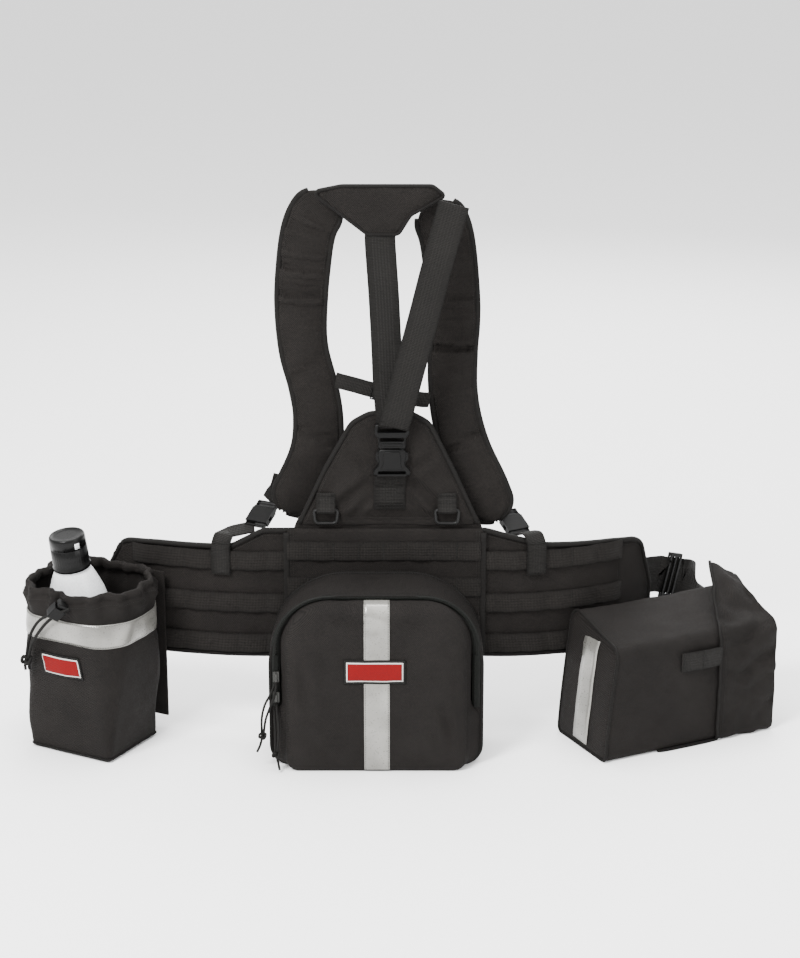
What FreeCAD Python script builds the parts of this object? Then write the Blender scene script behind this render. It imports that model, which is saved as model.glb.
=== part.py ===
import FreeCAD
import Part
import math
import os

from FreeCAD import Vector

# Load-bearing tool belt with a shoulder harness and three pouches.
# Millimetres. +X runs along the belt, +Y from the pouches towards the wearer,
# +Z up. The belt stands on the bottoms of its pouches at Z = 0.

os.makedirs("parts", exist_ok=True)

# ---------------------------------------------------------------- driving sizes
# The frame's origin is the middle of the object's footprint.
DATUM = Vector(-22.2, -45.8, 0)

GAP = 0.3                 # clearance between soft parts
WEB = 1.8                 # webbing thickness

# belt
BELT_MID_X = -3.0
FLAT_HALF = 120.0         # half length of the flat middle stretch
FACE_Y = 4.2              # outer face of the hip pads at the middle
PAD_THICK = 14.0
BEND = {"left": 413.0, "right": 300.0}       # outer radius of each wing
WING_LENGTH = {"left": 262.0, "right": 262.0}
SIGN = {"left": -1.0, "right": 1.0}
BELT_TOP = 279.5
BELT_BOTTOM = 111.0
LUMBAR_HALF = 124.5
LUMBAR_THICK = 4.0

# webbing rows: bottom height of each row, and its drop along the wing
ROW_HEIGHT = 25.4
WING_ROWS = (222.0, 166.0, 111.0)
ROW_THICK = 1.8

# harness
HARNESS_WEB = 38.0
SIDE_WEB = 25.0
WAIST_WEB = 50.0
PLATE_FRONT = 2.0
PLATE_BACK = 14.0
PLATE_BOTTOM = 281.0
SHOULDER_WIDTH = 67.0
SHOULDER_THICK = 12.0
YOKE_THICK = 12.0

# zip pouch
ZIP_X = -13.5
ZIP_WIDTH = 264.0
ZIP_HEIGHT = 224.0
ZIP_BACK_Y = -5.0
ZIP_SEAM_Y = -92.0
ZIP_FRONT_Y = -118.0
ZIP_HINGE_Z = 88.0
ZIP_WALL = 4.0

# bottle pouch
BOTTLE_POUCH_AT = Vector(-374.0, -13.0, 0)
BOTTLE_POUCH_TURN = 151.4          # direction of its width, degrees from +X
BOTTLE_POUCH_TOP = 216.0
BOTTLE_WALL = 3.0

# shelter pouch
SHELTER_CORNER = Vector(273.0, -94.0, 0)
SHELTER_TURN = 26.3
SHELTER_LENGTH = 250.0
SHELTER_DEPTH = 118.0
SHELTER_HEIGHT = 148.0
SHELTER_RISE = 16.0                # how much the top rises towards the belt
SHELTER_WALL = 4.0
FLAP_REACH = 84.0

CORD_DIAMETER = 3.0
KNOT_RADIUS = 5.2

NODES = {}


# ---------------------------------------------------------------- basic helpers
def unit(vector):
    return Vector(vector) / vector.Length


def box(low, high):
    """A box from its lowest to its highest corner."""
    size = Vector(*high) - Vector(*low)
    return Part.makeBox(size.x, size.y, size.z, Vector(*low))


def rounded_wire(corners, to_space):
    """Closed outline through corners (u, v, radius), with round corners."""
    edges = []
    ends = []
    count = len(corners)
    for index in range(count):
        u, v, radius = corners[index]
        here = Vector(u, v, 0)
        before = unit(Vector(*corners[index - 1][:2], 0) - here)
        after = unit(Vector(*corners[(index + 1) % count][:2], 0) - here)
        half = before.getAngle(after) / 2
        back_off = radius / math.tan(half)
        start = here + before * back_off
        end = here + after * back_off
        bisector = unit(before + after)
        middle = here + bisector * (radius / math.sin(half) - radius)
        ends.append((start, middle, end))
    for index in range(count):
        start, middle, end = ends[index]
        following = ends[(index + 1) % count][0]
        edges.append(Part.Arc(to_space(start), to_space(middle), to_space(end)).toShape())
        edges.append(Part.LineSegment(to_space(end), to_space(following)).toShape())
    return Part.Wire(edges)


def front_view(y):
    """Maps an outline in (x, z) to the vertical plane at y."""
    return lambda p: Vector(p.x, y, p.y)


def plan_view(z):
    """Maps an outline in (x, y) to the horizontal plane at z."""
    return lambda p: Vector(p.x, p.y, z)


def plate(corners, y_front, y_back):
    """A flat panel with a round-cornered outline seen from the front."""
    face = Part.Face(rounded_wire(corners, front_view(y_front)))
    return face.extrude(Vector(0, y_back - y_front, 0))


def rounded_rectangle(half_u, half_v, radius, centre=(0, 0)):
    u, v = centre
    return [
        (u - half_u, v - half_v, radius),
        (u + half_u, v - half_v, radius),
        (u + half_u, v + half_v, radius),
        (u - half_u, v + half_v, radius),
    ]


def loft(wires):
    """A solid through closed outlines, with straight sides between them."""
    solid = Part.makeLoft(wires, True, True)
    if solid.Volume < 0:
        solid.reverse()
    return solid


def ribbon(stations, width, thickness):
    """A band through stations (centre, across): its width lies along across."""
    wires = []
    for index, (centre, across) in enumerate(stations):
        first = stations[max(index - 1, 0)][0]
        last = stations[min(index + 1, len(stations) - 1)][0]
        heading = unit(Vector(*last) - Vector(*first))
        normal = unit(heading.cross(Vector(*across)))
        side = unit(normal.cross(heading)) * (width / 2)
        lift = normal * (thickness / 2)
        middle = Vector(*centre)
        corners = [middle - side - lift, middle + side - lift, middle + side + lift, middle - side + lift]
        wires.append(Part.makePolygon(corners + corners[:1]))
    return loft(wires)


def stand(shape, origin, across, along):
    """Puts a shape drawn with X across and Z along at origin, turned to the given axes."""
    z_axis = unit(Vector(*along))
    y_axis = unit(z_axis.cross(Vector(*across)))
    x_axis = y_axis.cross(z_axis)
    turn = FreeCAD.Rotation(x_axis, y_axis, z_axis, "ZXY")
    moved = shape.copy()
    moved.Placement = FreeCAD.Placement(Vector(*origin), turn)
    return moved


def cord_tube(points, diameter, name):
    """A tube along straight runs joined by tangent arcs."""
    route = [Vector(*p) for p in points]
    edges = []
    at = route[0]
    radii = []
    for index in range(1, len(route) - 1):
        here = route[index]
        back = route[index - 1] - here
        ahead = route[index + 1] - here
        half_turn = (math.pi - back.getAngle(ahead)) / 2
        reach = 0.45 * min(back.Length, ahead.Length)
        radius = reach / math.tan(half_turn)
        radii.append(round(radius / diameter, 1))
        start = here + unit(back) * reach
        end = here + unit(ahead) * reach
        bisector = unit(unit(back) + unit(ahead))
        middle = here + bisector * (radius / math.cos(half_turn) - radius)
        edges.append(Part.LineSegment(at, start).toShape())
        edges.append(Part.Arc(start, middle, end).toShape())
        at = end
    edges.append(Part.LineSegment(at, route[-1]).toShape())
    path = Part.Wire(edges)
    section = Part.Wire(Part.makeCircle(diameter / 2, route[0], route[1] - route[0]))
    tube = path.makePipeShell([section], True, False)
    ideal = math.pi * diameter ** 2 / 4 * path.Length
    print(name, "length", round(path.Length, 1), "radii in diameters", radii,
          "volume ratio", round(tube.Volume / ideal, 3))
    return tube


# ---------------------------------------------------------------- belt
def wing_point(side, s, offset):
    """Plan point at distance s along a wing, offset outwards from the pad's face."""
    sign = SIGN[side]
    radius = BEND[side]
    if s <= 0:
        return (BELT_MID_X + sign * (FLAT_HALF + s), FACE_Y - offset)
    angle = s / radius
    x = BELT_MID_X + sign * (FLAT_HALF + (radius + offset) * math.sin(angle))
    return (x, FACE_Y + radius - (radius + offset) * math.cos(angle))


def wing_band(side, inner, outer, s0, s1, z0, z1):
    """A curved slab that follows a wing, between two offsets from the pad's face."""
    def at(s, offset):
        x, y = wing_point(side, s, offset)
        return Vector(x, y, z0)

    edges = []
    bend_from = max(s0, 0.0)
    mid = (bend_from + s1) / 2
    edges.append(Part.Arc(at(bend_from, outer), at(mid, outer), at(s1, outer)).toShape())
    edges.append(Part.LineSegment(at(s1, outer), at(s1, inner)).toShape())
    edges.append(Part.Arc(at(s1, inner), at(mid, inner), at(bend_from, inner)).toShape())
    if s0 < 0:
        edges.append(Part.LineSegment(at(0, inner), at(s0, inner)).toShape())
        edges.append(Part.LineSegment(at(s0, inner), at(s0, outer)).toShape())
        edges.append(Part.LineSegment(at(s0, outer), at(0, outer)).toShape())
    else:
        edges.append(Part.LineSegment(at(s0, inner), at(s0, outer)).toShape())
    return Part.Face(Part.Wire(edges)).extrude(Vector(0, 0, z1 - z0))


LEFT_OUTLINE = [
    (BELT_MID_X - GAP / 2, BELT_BOTTOM, 0.5), (BELT_MID_X - GAP / 2, BELT_TOP, 0.5),
    (-158, 277.5, 30), (-200, 254, 30), (-295, 250, 60), (-345, 245, 22), (-372, 190, 40),
    (-368, 96, 25), (-240, 103, 100),
]
RIGHT_OUTLINE = [
    (BELT_MID_X + GAP / 2, BELT_BOTTOM, 0.5), (BELT_MID_X + GAP / 2, BELT_TOP, 0.5),
    (125, 278, 30), (200, 255, 60), (290, 246, 60), (333, 238, 22), (349, 170, 40),
    (346, 92, 22), (217, 103, 100),
]
OUTLINE = {"left": LEFT_OUTLINE, "right": RIGHT_OUTLINE}


def hip_pad(side):
    band = wing_band(side, -PAD_THICK, 0, -FLAT_HALF, WING_LENGTH[side] + 12, 80, 300)
    return band.common(plate(OUTLINE[side], -20, 160))


def wing_row(side, bottom, s0, s1):
    drop = 4.0
    band = wing_band(side, 0.1, 0.1 + ROW_THICK, s0, s1, bottom - 20, bottom + 60)
    x0 = wing_point(side, s0, 0)[0]
    x1 = wing_point(side, s1, 0)[0]
    corners = [
        (x0 - SIGN[side] * 5, bottom + 2, 0.5), (x0 - SIGN[side] * 5, bottom + 2 + ROW_HEIGHT, 0.5),
        (x1 + SIGN[side] * 5, bottom - drop + ROW_HEIGHT, 0.5), (x1 + SIGN[side] * 5, bottom - drop, 0.5),
    ]
    return band.common(plate(corners, -20, 160))


def webbing_rows_wings():
    rows = []
    for side, row_end in (("left", 214.0), ("right", 200.0)):
        for bottom in WING_ROWS:
            rows.append(wing_row(side, bottom, 6.0, row_end))
    return Part.makeCompound(rows)


CENTER_ROWS = (238.0, 190.0, 140.0)


def webbing_rows_center():
    left = BELT_MID_X - LUMBAR_HALF + 1
    right = BELT_MID_X + LUMBAR_HALF - 1
    rows = [box((left, -ROW_THICK, z), (right, -0.05, z + ROW_HEIGHT)) for z in CENTER_ROWS]
    return Part.makeCompound(rows)


def lumbar_panel():
    middle_z = (BELT_TOP + BELT_BOTTOM) / 2
    outline = rounded_rectangle(LUMBAR_HALF, (BELT_TOP - BELT_BOTTOM) / 2, 6, (BELT_MID_X, middle_z))
    return plate(outline, 0, LUMBAR_THICK)


# Centres of the loose waist webbing, with the direction of its width.
WAIST_LEFT = [
    ((-322, 74.5, 170), (0, 0, 1)), ((-350, 92, 169), (0, 0, 1)), ((-376, 111, 162), (0.2, 0.2, 1)),
    ((-397, 127, 142), (0.6, 0.5, 0.6)), ((-407, 137, 112), (0.8, 0.6, 0.2)), ((-410, 141, 84), (0.8, 0.6, 0)),
]
WAIST_RIGHT = [
    ((299, 83.5, 172), (0, 0, 1)), ((330, 115, 175), (0, 0, 1)), ((358, 139, 171), (0, 0, 1)),
    ((364, 143.5, 168.75), (0, 0, 1)), ((392, 164.5, 158.25), (0, 0, 1)), ((398, 169, 156), (0, 0, 1)),
    ((417, 181, 134), (-0.6, 0.2, 0.7)), ((429, 189, 104), (-0.9, 0.4, 0.1)), ((432, 192, 76), (-0.9, 0.4, 0)),
]


def waist_slider():
    """Three-bar slider on the right webbing, slotted for the band."""
    frame = box((-31, -3.2, -11), (31, 3.2, 11)).cut(box((-26, -1.4, -12), (26, 1.4, 12)))
    for z in (-7.5, 1.5):
        frame = frame.cut(box((-26, -4, z), (26, 4, z + 6)))
    return frame


# ---------------------------------------------------------------- side release buckle
# Drawn with X across, Y through and Z from the socket to the plug; the mouth is at Z = 0.
def buckle_scale(web):
    return web / 38.0


def buckle_socket(web):
    k = buckle_scale(web)
    half = web / 2 + 5 * k
    depth = 34 * k
    thick = 6.0 * k + 0.4
    body = box((-half, -thick, -depth), (half, thick, 0))
    body = body.cut(box((-half + 3.5 * k, -3.4 * k, -depth + 3 * k), (half - 3.5 * k, 3.4 * k, 1)))
    for sign in (-1, 1):
        low, high = sorted((sign * (half - 5 * k), sign * (half + 1)))
        body = body.cut(box((low, -3.2 * k, -24 * k), (high, 3.2 * k, -14 * k)))
    tail = box((-half + 1, -3 * k, -depth - 8 * k), (half - 1, 3 * k, -depth))
    tail = tail.cut(box((-web / 2 - 1, -4 * k, -depth - 5 * k), (web / 2 + 1, 4 * k, -depth - 1 * k)))
    return body.fuse(tail).removeSplitter()


def buckle_plug(web):
    k = buckle_scale(web)
    half = web / 2 + 5 * k
    flange = box((-half + 0.5, -5.5 * k, GAP), (half - 0.5, 5.5 * k, 5 * k))
    ladder = box((-half + 0.5, -3.6 * k, 5 * k), (half - 0.5, 3.6 * k, 20 * k))
    for z in (6.5, 13.5):
        ladder = ladder.cut(box((-web / 2 - 0.8, -6 * k, z * k), (web / 2 + 0.8, 6 * k, (z + 4.5) * k)))
    tongue = box((-3 * k, -2 * k, -24 * k), (3 * k, 2 * k, 1))
    return flange.fuse(ladder).fuse(tongue).removeSplitter()


def buckle_prong(web, sign):
    """One springy arm of the plug; it bends in about its root at Z = -2 k."""
    k = buckle_scale(web)
    reach = web / 2 + 5 * k - 3.5 * k - 0.35
    outline = [
        (reach - 11 * k, -1.0 * k), (reach - 6.5 * k, -1.0 * k), (reach - 5 * k, -11 * k),
        (reach, -14.5 * k), (reach, -22.5 * k), (reach - 4 * k, -28 * k), (reach - 9 * k, -28 * k),
    ]
    points = [Vector(sign * x, -2.8 * k, z) for x, z in outline]
    face = Part.Face(Part.makePolygon(points + points[:1]))
    return face.extrude(Vector(0, 5.6 * k, 0))


# ---------------------------------------------------------------- harness
HARNESS_BUCKLE = (6.0, -6.3, 396.0)

PLATE_CORNERS = [
    (-115, PLATE_BOTTOM, 4), (-80, 357, 60), (-46, 418, 30), (-22, 431, 25), (30, 431, 25),
    (54, 418, 30), (84, 357, 60), (118, PLATE_BOTTOM, 4),
]

YOKE_CORNERS = [
    (-24, 652, 8), (-55, 676, 12), (-95, 706, 6), (-55, 714, 30), (56, 714, 10),
    (74, 700, 5), (30, 676, 12), (15, 652, 8),
]

SHOULDER_LEFT = [
    (-69, 22, 699), (-94, 31, 660), (-104, 38, 600), (-107, 42, 545), (-104, 42, 500), (-93, 42, 455),
    (-87, 41, 415), (-90, 40, 370), (-108, 38, 325), (-131, 37, 292),
]
SHOULDER_RIGHT = [
    (54, 22, 691), (72, 31, 650), (80, 38, 590), (83, 42, 540), (82, 42, 500), (82, 42, 455),
    (87, 41, 415), (99, 40, 370), (119, 38, 325), (138, 37, 279),
]


def shoulder_pad(route):
    """A padded band; its width stays square to its route in the view from the front."""
    stations = []
    for index, centre in enumerate(route):
        first = Vector(*route[max(index - 1, 0)])
        last = Vector(*route[min(index + 1, len(route) - 1)])
        heading = last - first
        across = (-heading.z, 0, heading.x)
        stations.append((centre, across))
    return ribbon(stations, SHOULDER_WIDTH, SHOULDER_THICK)


def strap_tail():
    stations = [((9.5, -13, 414), (1, 0, 0)), ((20, -15, 460), (1, 0, -0.2)), ((81, -14, 694), (1, 0, -0.25))]
    return ribbon(stations, HARNESS_WEB, WEB)


def yoke_strap():
    stations = [((-8, 8, 651.5), (1, 0, 0)), ((-4, 8, 580), (1, 0, 0)), ((1, 6, 470), (1, 0, 0)),
                ((4, -0.9, 436), (1, 0, 0)), ((5.5, -0.9, 403), (1, 0, 0))]
    return ribbon(stations, HARNESS_WEB, WEB)


RING_X = {"left": -77.0, "right": 75.0}
RING_BAR_Z = 305.0
RING_BAR_Y = -2.0
RING_WIRE = 2.0


def ring(side):
    """A rectangular ring that hangs from its webbing tab."""
    x = RING_X[side]
    drop = 17.0
    half = 15.0
    bars = []
    for z in (RING_BAR_Z, RING_BAR_Z - drop):
        bars.append(Part.makeCylinder(RING_WIRE, 2 * half, Vector(x - half, RING_BAR_Y, z), Vector(1, 0, 0)))
    for sign in (-1, 1):
        foot = Vector(x + sign * half, RING_BAR_Y, RING_BAR_Z - drop)
        bars.append(Part.makeCylinder(RING_WIRE, drop, foot, Vector(0, 0, 1)))
        for z in (RING_BAR_Z, RING_BAR_Z - drop):
            bars.append(Part.makeSphere(RING_WIRE, Vector(x + sign * half, RING_BAR_Y, z)))
    return bars[0].multiFuse(bars[1:]).removeSplitter()


def plate_tabs():
    """Webbing tabs sewn on the plate: one above each ring, one under the buckle."""
    tabs = []
    for side in ("left", "right"):
        x = RING_X[side]
        tab = box((x - 12, RING_BAR_Y - 3.6, RING_BAR_Z - 3.6), (x + 12, PLATE_FRONT - 0.05, RING_BAR_Z + 20))
        hole = Part.makeCylinder(RING_WIRE + 0.3, 30, Vector(x - 15, RING_BAR_Y, RING_BAR_Z), Vector(1, 0, 0))
        tabs.append(tab.cut(hole))
    x, y, z = HARNESS_BUCKLE
    half = HARNESS_WEB / 2
    tabs.append(box((x - half - 3, PLATE_FRONT - 3.8, 310), (x + half - 3, PLATE_FRONT - 0.05, 352)))
    return Part.makeCompound(tabs)


STERNUM_Y = 29.0


def sternum_straps():
    left = ribbon([((-58, STERNUM_Y, 464), (0, 0, 1)), ((-21, STERNUM_Y - 6, 455.2), (0, 0, 1))], 20, WEB)
    right = ribbon([((18, STERNUM_Y - 6, 446), (0, 0, 1)), ((47, STERNUM_Y, 440), (0, 0, 1))], 20, WEB)
    return Part.makeCompound([left, right])


STERNUM_AT = (-9.0, STERNUM_Y - 6, 452.4)
STERNUM_ALONG = (-0.97, 0, 0.23)

# side buckles: the mouth of each socket, and the direction in which its plug leaves
SIDE_AT = {"left": Vector(-157, 46, 290), "right": Vector(157, 51.5, 277)}
SIDE_ALONG = {"left": Vector(0.42, 0.72, 0.55), "right": Vector(-0.45, 0.72, 0.52)}
SIDE_STRAP_TOP = {"left": Vector(-138, 44.6, 320), "right": Vector(146, 44.6, 305)}
SIDE_ACROSS = {"left": Vector(0.8, -0.5, 0.0), "right": Vector(0.8, 0.5, 0.0)}


def side_straps():
    """Short bands from the back faces of the shoulder pads down to the plugs' ladders."""
    bands = []
    half = (SIDE_WEB - 1) / 2
    for side, sign in (("left", 1), ("right", -1)):
        along = unit(SIDE_ALONG[side])
        foot = SIDE_AT[side] + along * 14.6
        across = unit(SIDE_ACROSS[side])
        facing = Vector(sign * 0.52, 0.84, 0.16)
        sections = [(foot, across, facing), (SIDE_STRAP_TOP[side], Vector(0.82, 0, -sign * 0.57), Vector(0, 1, 0))]
        wires = []
        for centre, wide, thick in sections:
            u = wide * half
            v = thick * (WEB / 2)
            corners = [centre - u - v, centre + u - v, centre + u + v, centre - u + v]
            wires.append(Part.makePolygon(corners + corners[:1]))
        bands.append(loft(wires))
    return Part.makeCompound(bands)


def hanger(side):
    """Webbing looped over the wing's first row, up to the socket's bar."""
    sign = SIGN[side]
    s_mid = 88.0 if side == "left" else 72.0
    x, y = wing_point(side, s_mid, ROW_THICK + 2.2)
    angle = s_mid / BEND[side]
    along_wing = (sign * math.cos(angle), math.sin(angle), 0)
    top = 262.0 if side == "left" else 262.0
    front = ribbon([((x, y, 219), along_wing), ((x, y, top), along_wing)], SIDE_WEB, WEB)
    tail = SIDE_AT[side] - unit(SIDE_ALONG[side]) * 28.4
    across = SIDE_ACROSS[side]
    inner_x, inner_y = wing_point(side, s_mid - 8, -PAD_THICK / 2)
    bridge = ribbon([
        ((x, y - 0.2, top - 0.5), along_wing),
        ((inner_x, inner_y, top + 10), along_wing),
        (tuple(tail), tuple(across)),
    ], SIDE_WEB, WEB)
    return front.fuse(bridge)


# ---------------------------------------------------------------- bottle pouch
def bottle_section(z, half_w, half_d, radius, grow):
    across = FreeCAD.Rotation(Vector(0, 0, 1), BOTTLE_POUCH_TURN)

    def to_space(p):
        return BOTTLE_POUCH_AT + across.multVec(Vector(p.x, p.y, 0)) + Vector(0, 0, z)

    return rounded_wire(rounded_rectangle(half_w + grow, half_d + grow, radius + grow), to_space)


BOTTLE_SECTIONS = [(0, 56, 54, 18), (14, 60, 58, 24), (150, 73, 65, 48), (184, 77, 68, 58), (216, 79, 69, 62)]


def bottle_skin(grow, low, high):
    """Solid inside the pouch's outer face, grown by grow, between two heights."""
    wires = []
    previous = None
    for z, half_w, half_d, radius in BOTTLE_SECTIONS:
        if previous and previous[0] < low < z:
            wires.append(bottle_between(previous, (z, half_w, half_d, radius), low, grow))
        if low <= z <= high:
            wires.append(bottle_section(z, half_w, half_d, radius, grow))
        if previous and previous[0] < high < z:
            wires.append(bottle_between(previous, (z, half_w, half_d, radius), high, grow))
        previous = (z, half_w, half_d, radius)
    return loft(wires)


def bottle_between(lower, upper, z, grow):
    share = (z - lower[0]) / (upper[0] - lower[0])
    mixed = [a + (b - a) * share for a, b in zip(lower[1:], upper[1:])]
    return bottle_section(z, *mixed, grow)


def bottle_pouch():
    outer = bottle_skin(0, 0, BOTTLE_POUCH_TOP)
    inner = bottle_skin(-BOTTLE_WALL, 4, BOTTLE_POUCH_TOP)
    lid = bottle_section(BOTTLE_POUCH_TOP, *BOTTLE_SECTIONS[-1][1:], -BOTTLE_WALL)
    mouth = Part.Face(lid).extrude(Vector(0, 0, 5))
    return outer.cut(inner).cut(mouth)


def bottle_band():
    return bottle_skin(0.8, 154, 184).cut(bottle_skin(0.15, 153, 185))


def in_pouch_frame(shape):
    moved = shape.copy()
    turn = FreeCAD.Rotation(Vector(0, 0, 1), BOTTLE_POUCH_TURN)
    moved.Placement = FreeCAD.Placement(BOTTLE_POUCH_AT, turn)
    return moved


def bottle_pouch_back():
    """The stiff panel that carries the pouch on the wing."""
    return in_pouch_frame(box((-60, -76.6, 16), (62, -73.6, 214)))


def bottle_label():
    """Plain label patch on the pouch's front."""
    skin = bottle_skin(1.6, 104, 140).cut(bottle_skin(0.15, 100, 144))
    return skin.common(in_pouch_frame(box((-44, 30, 100), (24, 120, 144))))


BOTTLE_FOOT = Vector(-370.0, 3.0, 10.5)
BOTTLE_CAP_TOP = Vector(-397.0, -26.0, 277.0)
BOTTLE_RADIUS = 38.0
CAP_RADIUS = 24.0
CAP_HEIGHT = 46.0


def bottle_profile(points):
    """Turns a profile of (radius, height) about Z and leans it on the bottle's axis."""
    outline = [Vector(r, 0, h) for r, h in points]
    face = Part.Face(Part.makePolygon(outline + outline[:1]))
    solid = face.revolve(Vector(0, 0, 0), Vector(0, 0, 1), 360)
    return stand(solid, BOTTLE_FOOT, (1, 0, 0), BOTTLE_CAP_TOP - BOTTLE_FOOT)


def bottle_length():
    return (BOTTLE_CAP_TOP - BOTTLE_FOOT).Length


def bottle():
    neck = bottle_length() - CAP_HEIGHT
    outer = BOTTLE_RADIUS
    return bottle_profile([
        (0, 0), (outer - 4, 0), (outer, 4), (outer, neck - 46), (outer - 3, neck - 36), (26, neck - 4),
        (22, neck), (16, neck + 0.5), (16, neck + 18), (0, neck + 18),
    ])


def bottle_cap():
    neck = bottle_length() - CAP_HEIGHT
    top = bottle_length()
    return bottle_profile([
        (16.3, neck + 1), (CAP_RADIUS + 1, neck + 1), (CAP_RADIUS, top - 1.5), (CAP_RADIUS - 1.5, top), (0, top),
        (0, neck + 19), (16.3, neck + 19),
    ])


def in_lock_frame(shape):
    return stand(shape, LOCK_AT, LOCK_ACROSS, LOCK_ALONG)


LOCK_AT = (-406.0, -87.5, 203.0)
LOCK_ALONG = (0.55, -0.12, 0.6)
LOCK_ACROSS = (0.7, 0.35, -0.6)


def cord_lock_body():
    shell = box((-8, -7, -11), (8, 7, 6))
    shell = shell.cut(box((-5.6, -4.6, -7), (5.6, 4.6, 7)))
    return in_lock_frame(shell)


def cord_lock_button():
    stem = box((-5.2, -4.2, -2), (5.2, 4.2, 9))
    cap = box((-7, -6, 9), (7, 6, 13))
    return in_lock_frame(stem.fuse(cap).removeSplitter())


# ---------------------------------------------------------------- cords
# The drawcord leaves the lock as two strands that meet in a knot.
DRAW_STRANDS = (
    [(-413.5, -82.6, 195.5), (-424, -78, 190.5), (-434, -72, 181), (-443, -66, 166),
     (-449, -60, 148), (-452.5, -55, 132)],
    [(-411.5, -84.5, 193.3), (-420, -82, 185.5), (-428.5, -77.5, 175), (-437, -71, 162),
     (-444.5, -64, 147), (-449, -58.5, 130)],
)
DRAW_KNOT = (-452.5, -54.5, 125.0)

# Each zipper pull is a loop of two strands that meet in a knot with a short end.
UPPER_STRANDS = (
    [(-138.4, -100.6, 112), (-144, -104, 99), (-151.5, -106, 85), (-155.5, -107, 68), (-155.8, -107.5, 51)],
    [(-137, -103.6, 111), (-139.5, -107, 97), (-145, -109.5, 83), (-150.5, -110, 67), (-152.6, -110.2, 51)],
)
UPPER_KNOT = (-154.5, -108.6, 45.0)
UPPER_TAIL = [(-155.5, -108.6, 41), (-158, -108.4, 32), (-162, -108, 23)]
LOWER_STRANDS = (
    [(-138.4, -100.6, 85), (-139.8, -105, 73), (-139, -109.5, 60), (-138.4, -112.6, 45), (-139, -114.4, 29)],
    [(-137.2, -103.8, 84), (-136.2, -108.5, 72), (-134.6, -113, 59), (-134.8, -116, 44), (-136.2, -117.4, 29)],
)
LOWER_KNOT = (-137.6, -116.2, 22.5)
LOWER_TAIL = [(-137, -116.5, 18.5), (-135.2, -117.4, 11), (-133.6, -119.5, 3.2)]


def pull_cord(strands, knot, tail, name):
    pieces = [cord_tube(route, CORD_DIAMETER, name) for route in strands]
    pieces.append(cord_tube(tail, CORD_DIAMETER, name + " end"))
    ball = Part.makeSphere(KNOT_RADIUS, Vector(*knot))
    return ball.multiFuse(pieces).removeSplitter()


def draw_cord():
    pieces = [cord_tube(route, CORD_DIAMETER, "drawcord") for route in DRAW_STRANDS]
    return Part.makeSphere(KNOT_RADIUS + 0.8, Vector(*DRAW_KNOT)).multiFuse(pieces).removeSplitter()


# ---------------------------------------------------------------- zip pouch
def zip_outline(half_width, height, bottom_radius, top_radius, bottom=0.0):
    return [
        (ZIP_X - half_width, bottom, bottom_radius), (ZIP_X + half_width, bottom, bottom_radius),
        (ZIP_X + half_width, height, top_radius), (ZIP_X - half_width, height, top_radius),
    ]


ZIP_HALF = ZIP_WIDTH / 2
PANEL_HALF = 118.0
PANEL_FRONT_HALF = 111.0
PANEL_TOP = 218.0
PANEL_CORNER = 60.0


def zip_front_block(shrink, front_y):
    """The front of the pouch: it narrows from the seam to the front face."""
    rear = zip_outline(PANEL_HALF - shrink, PANEL_TOP - shrink, 34, PANEL_CORNER, shrink)
    fore = zip_outline(PANEL_FRONT_HALF - shrink, PANEL_TOP + 5 - shrink, 34, PANEL_CORNER - 6, shrink)
    rear = rounded_wire(rear, front_view(ZIP_SEAM_Y))
    fore = rounded_wire(fore, front_view(front_y))
    return loft([rear, fore])


def zip_pouch():
    outer = plate(zip_outline(ZIP_HALF, ZIP_HEIGHT, 40, 92), ZIP_SEAM_Y, ZIP_BACK_Y)
    inner_shape = zip_outline(ZIP_HALF - ZIP_WALL, ZIP_HEIGHT - ZIP_WALL, 36, 88, ZIP_WALL)
    outer = outer.cut(plate(inner_shape, ZIP_SEAM_Y + ZIP_WALL, ZIP_BACK_Y - ZIP_WALL))
    throat = zip_outline(PANEL_HALF - 4, PANEL_TOP - 4, 30, PANEL_CORNER - 4, 4.0)
    outer = outer.cut(plate(throat, ZIP_SEAM_Y - 1, ZIP_SEAM_Y + ZIP_WALL + 1))
    front = zip_front_block(0, ZIP_FRONT_Y).cut(zip_front_block(ZIP_WALL, ZIP_FRONT_Y + ZIP_WALL))
    below = box((ZIP_X - 200, -130, -1), (ZIP_X + 200, ZIP_SEAM_Y, ZIP_HINGE_Z))
    return outer.fuse(front.common(below)).removeSplitter()


def zip_panel():
    front = zip_front_block(0, ZIP_FRONT_Y).cut(zip_front_block(ZIP_WALL, ZIP_FRONT_Y + ZIP_WALL))
    above = box((ZIP_X - 200, -130, ZIP_HINGE_Z + GAP), (ZIP_X + 200, ZIP_SEAM_Y - GAP, 240))
    return front.common(above)


def zip_coil():
    """The closed zip's tape and coil on the pouch's rim, from one side over the top to the other."""
    front = ZIP_SEAM_Y - 2.2
    back = ZIP_SEAM_Y - 0.05
    outer = plate(zip_outline(PANEL_HALF + 10, PANEL_TOP + 5, 34, PANEL_CORNER + 10), front, back)
    inner = zip_outline(PANEL_HALF + 1.5, PANEL_TOP + 1.5, 30, PANEL_CORNER + 1.5, -20)
    rim = plate(zip_outline(ZIP_HALF - 1, ZIP_HEIGHT - 1, 39, 91), front, back)
    ring_shape = outer.common(rim).cut(plate(inner, front - 1, back + 1))
    return ring_shape.common(box((-300, -130, ZIP_HINGE_Z - 12), (300, 0, 240)))


SLIDER_X = ZIP_X - PANEL_HALF - 6.0
SLIDER_Z = {"upper": 119.0, "lower": 92.0}


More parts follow.
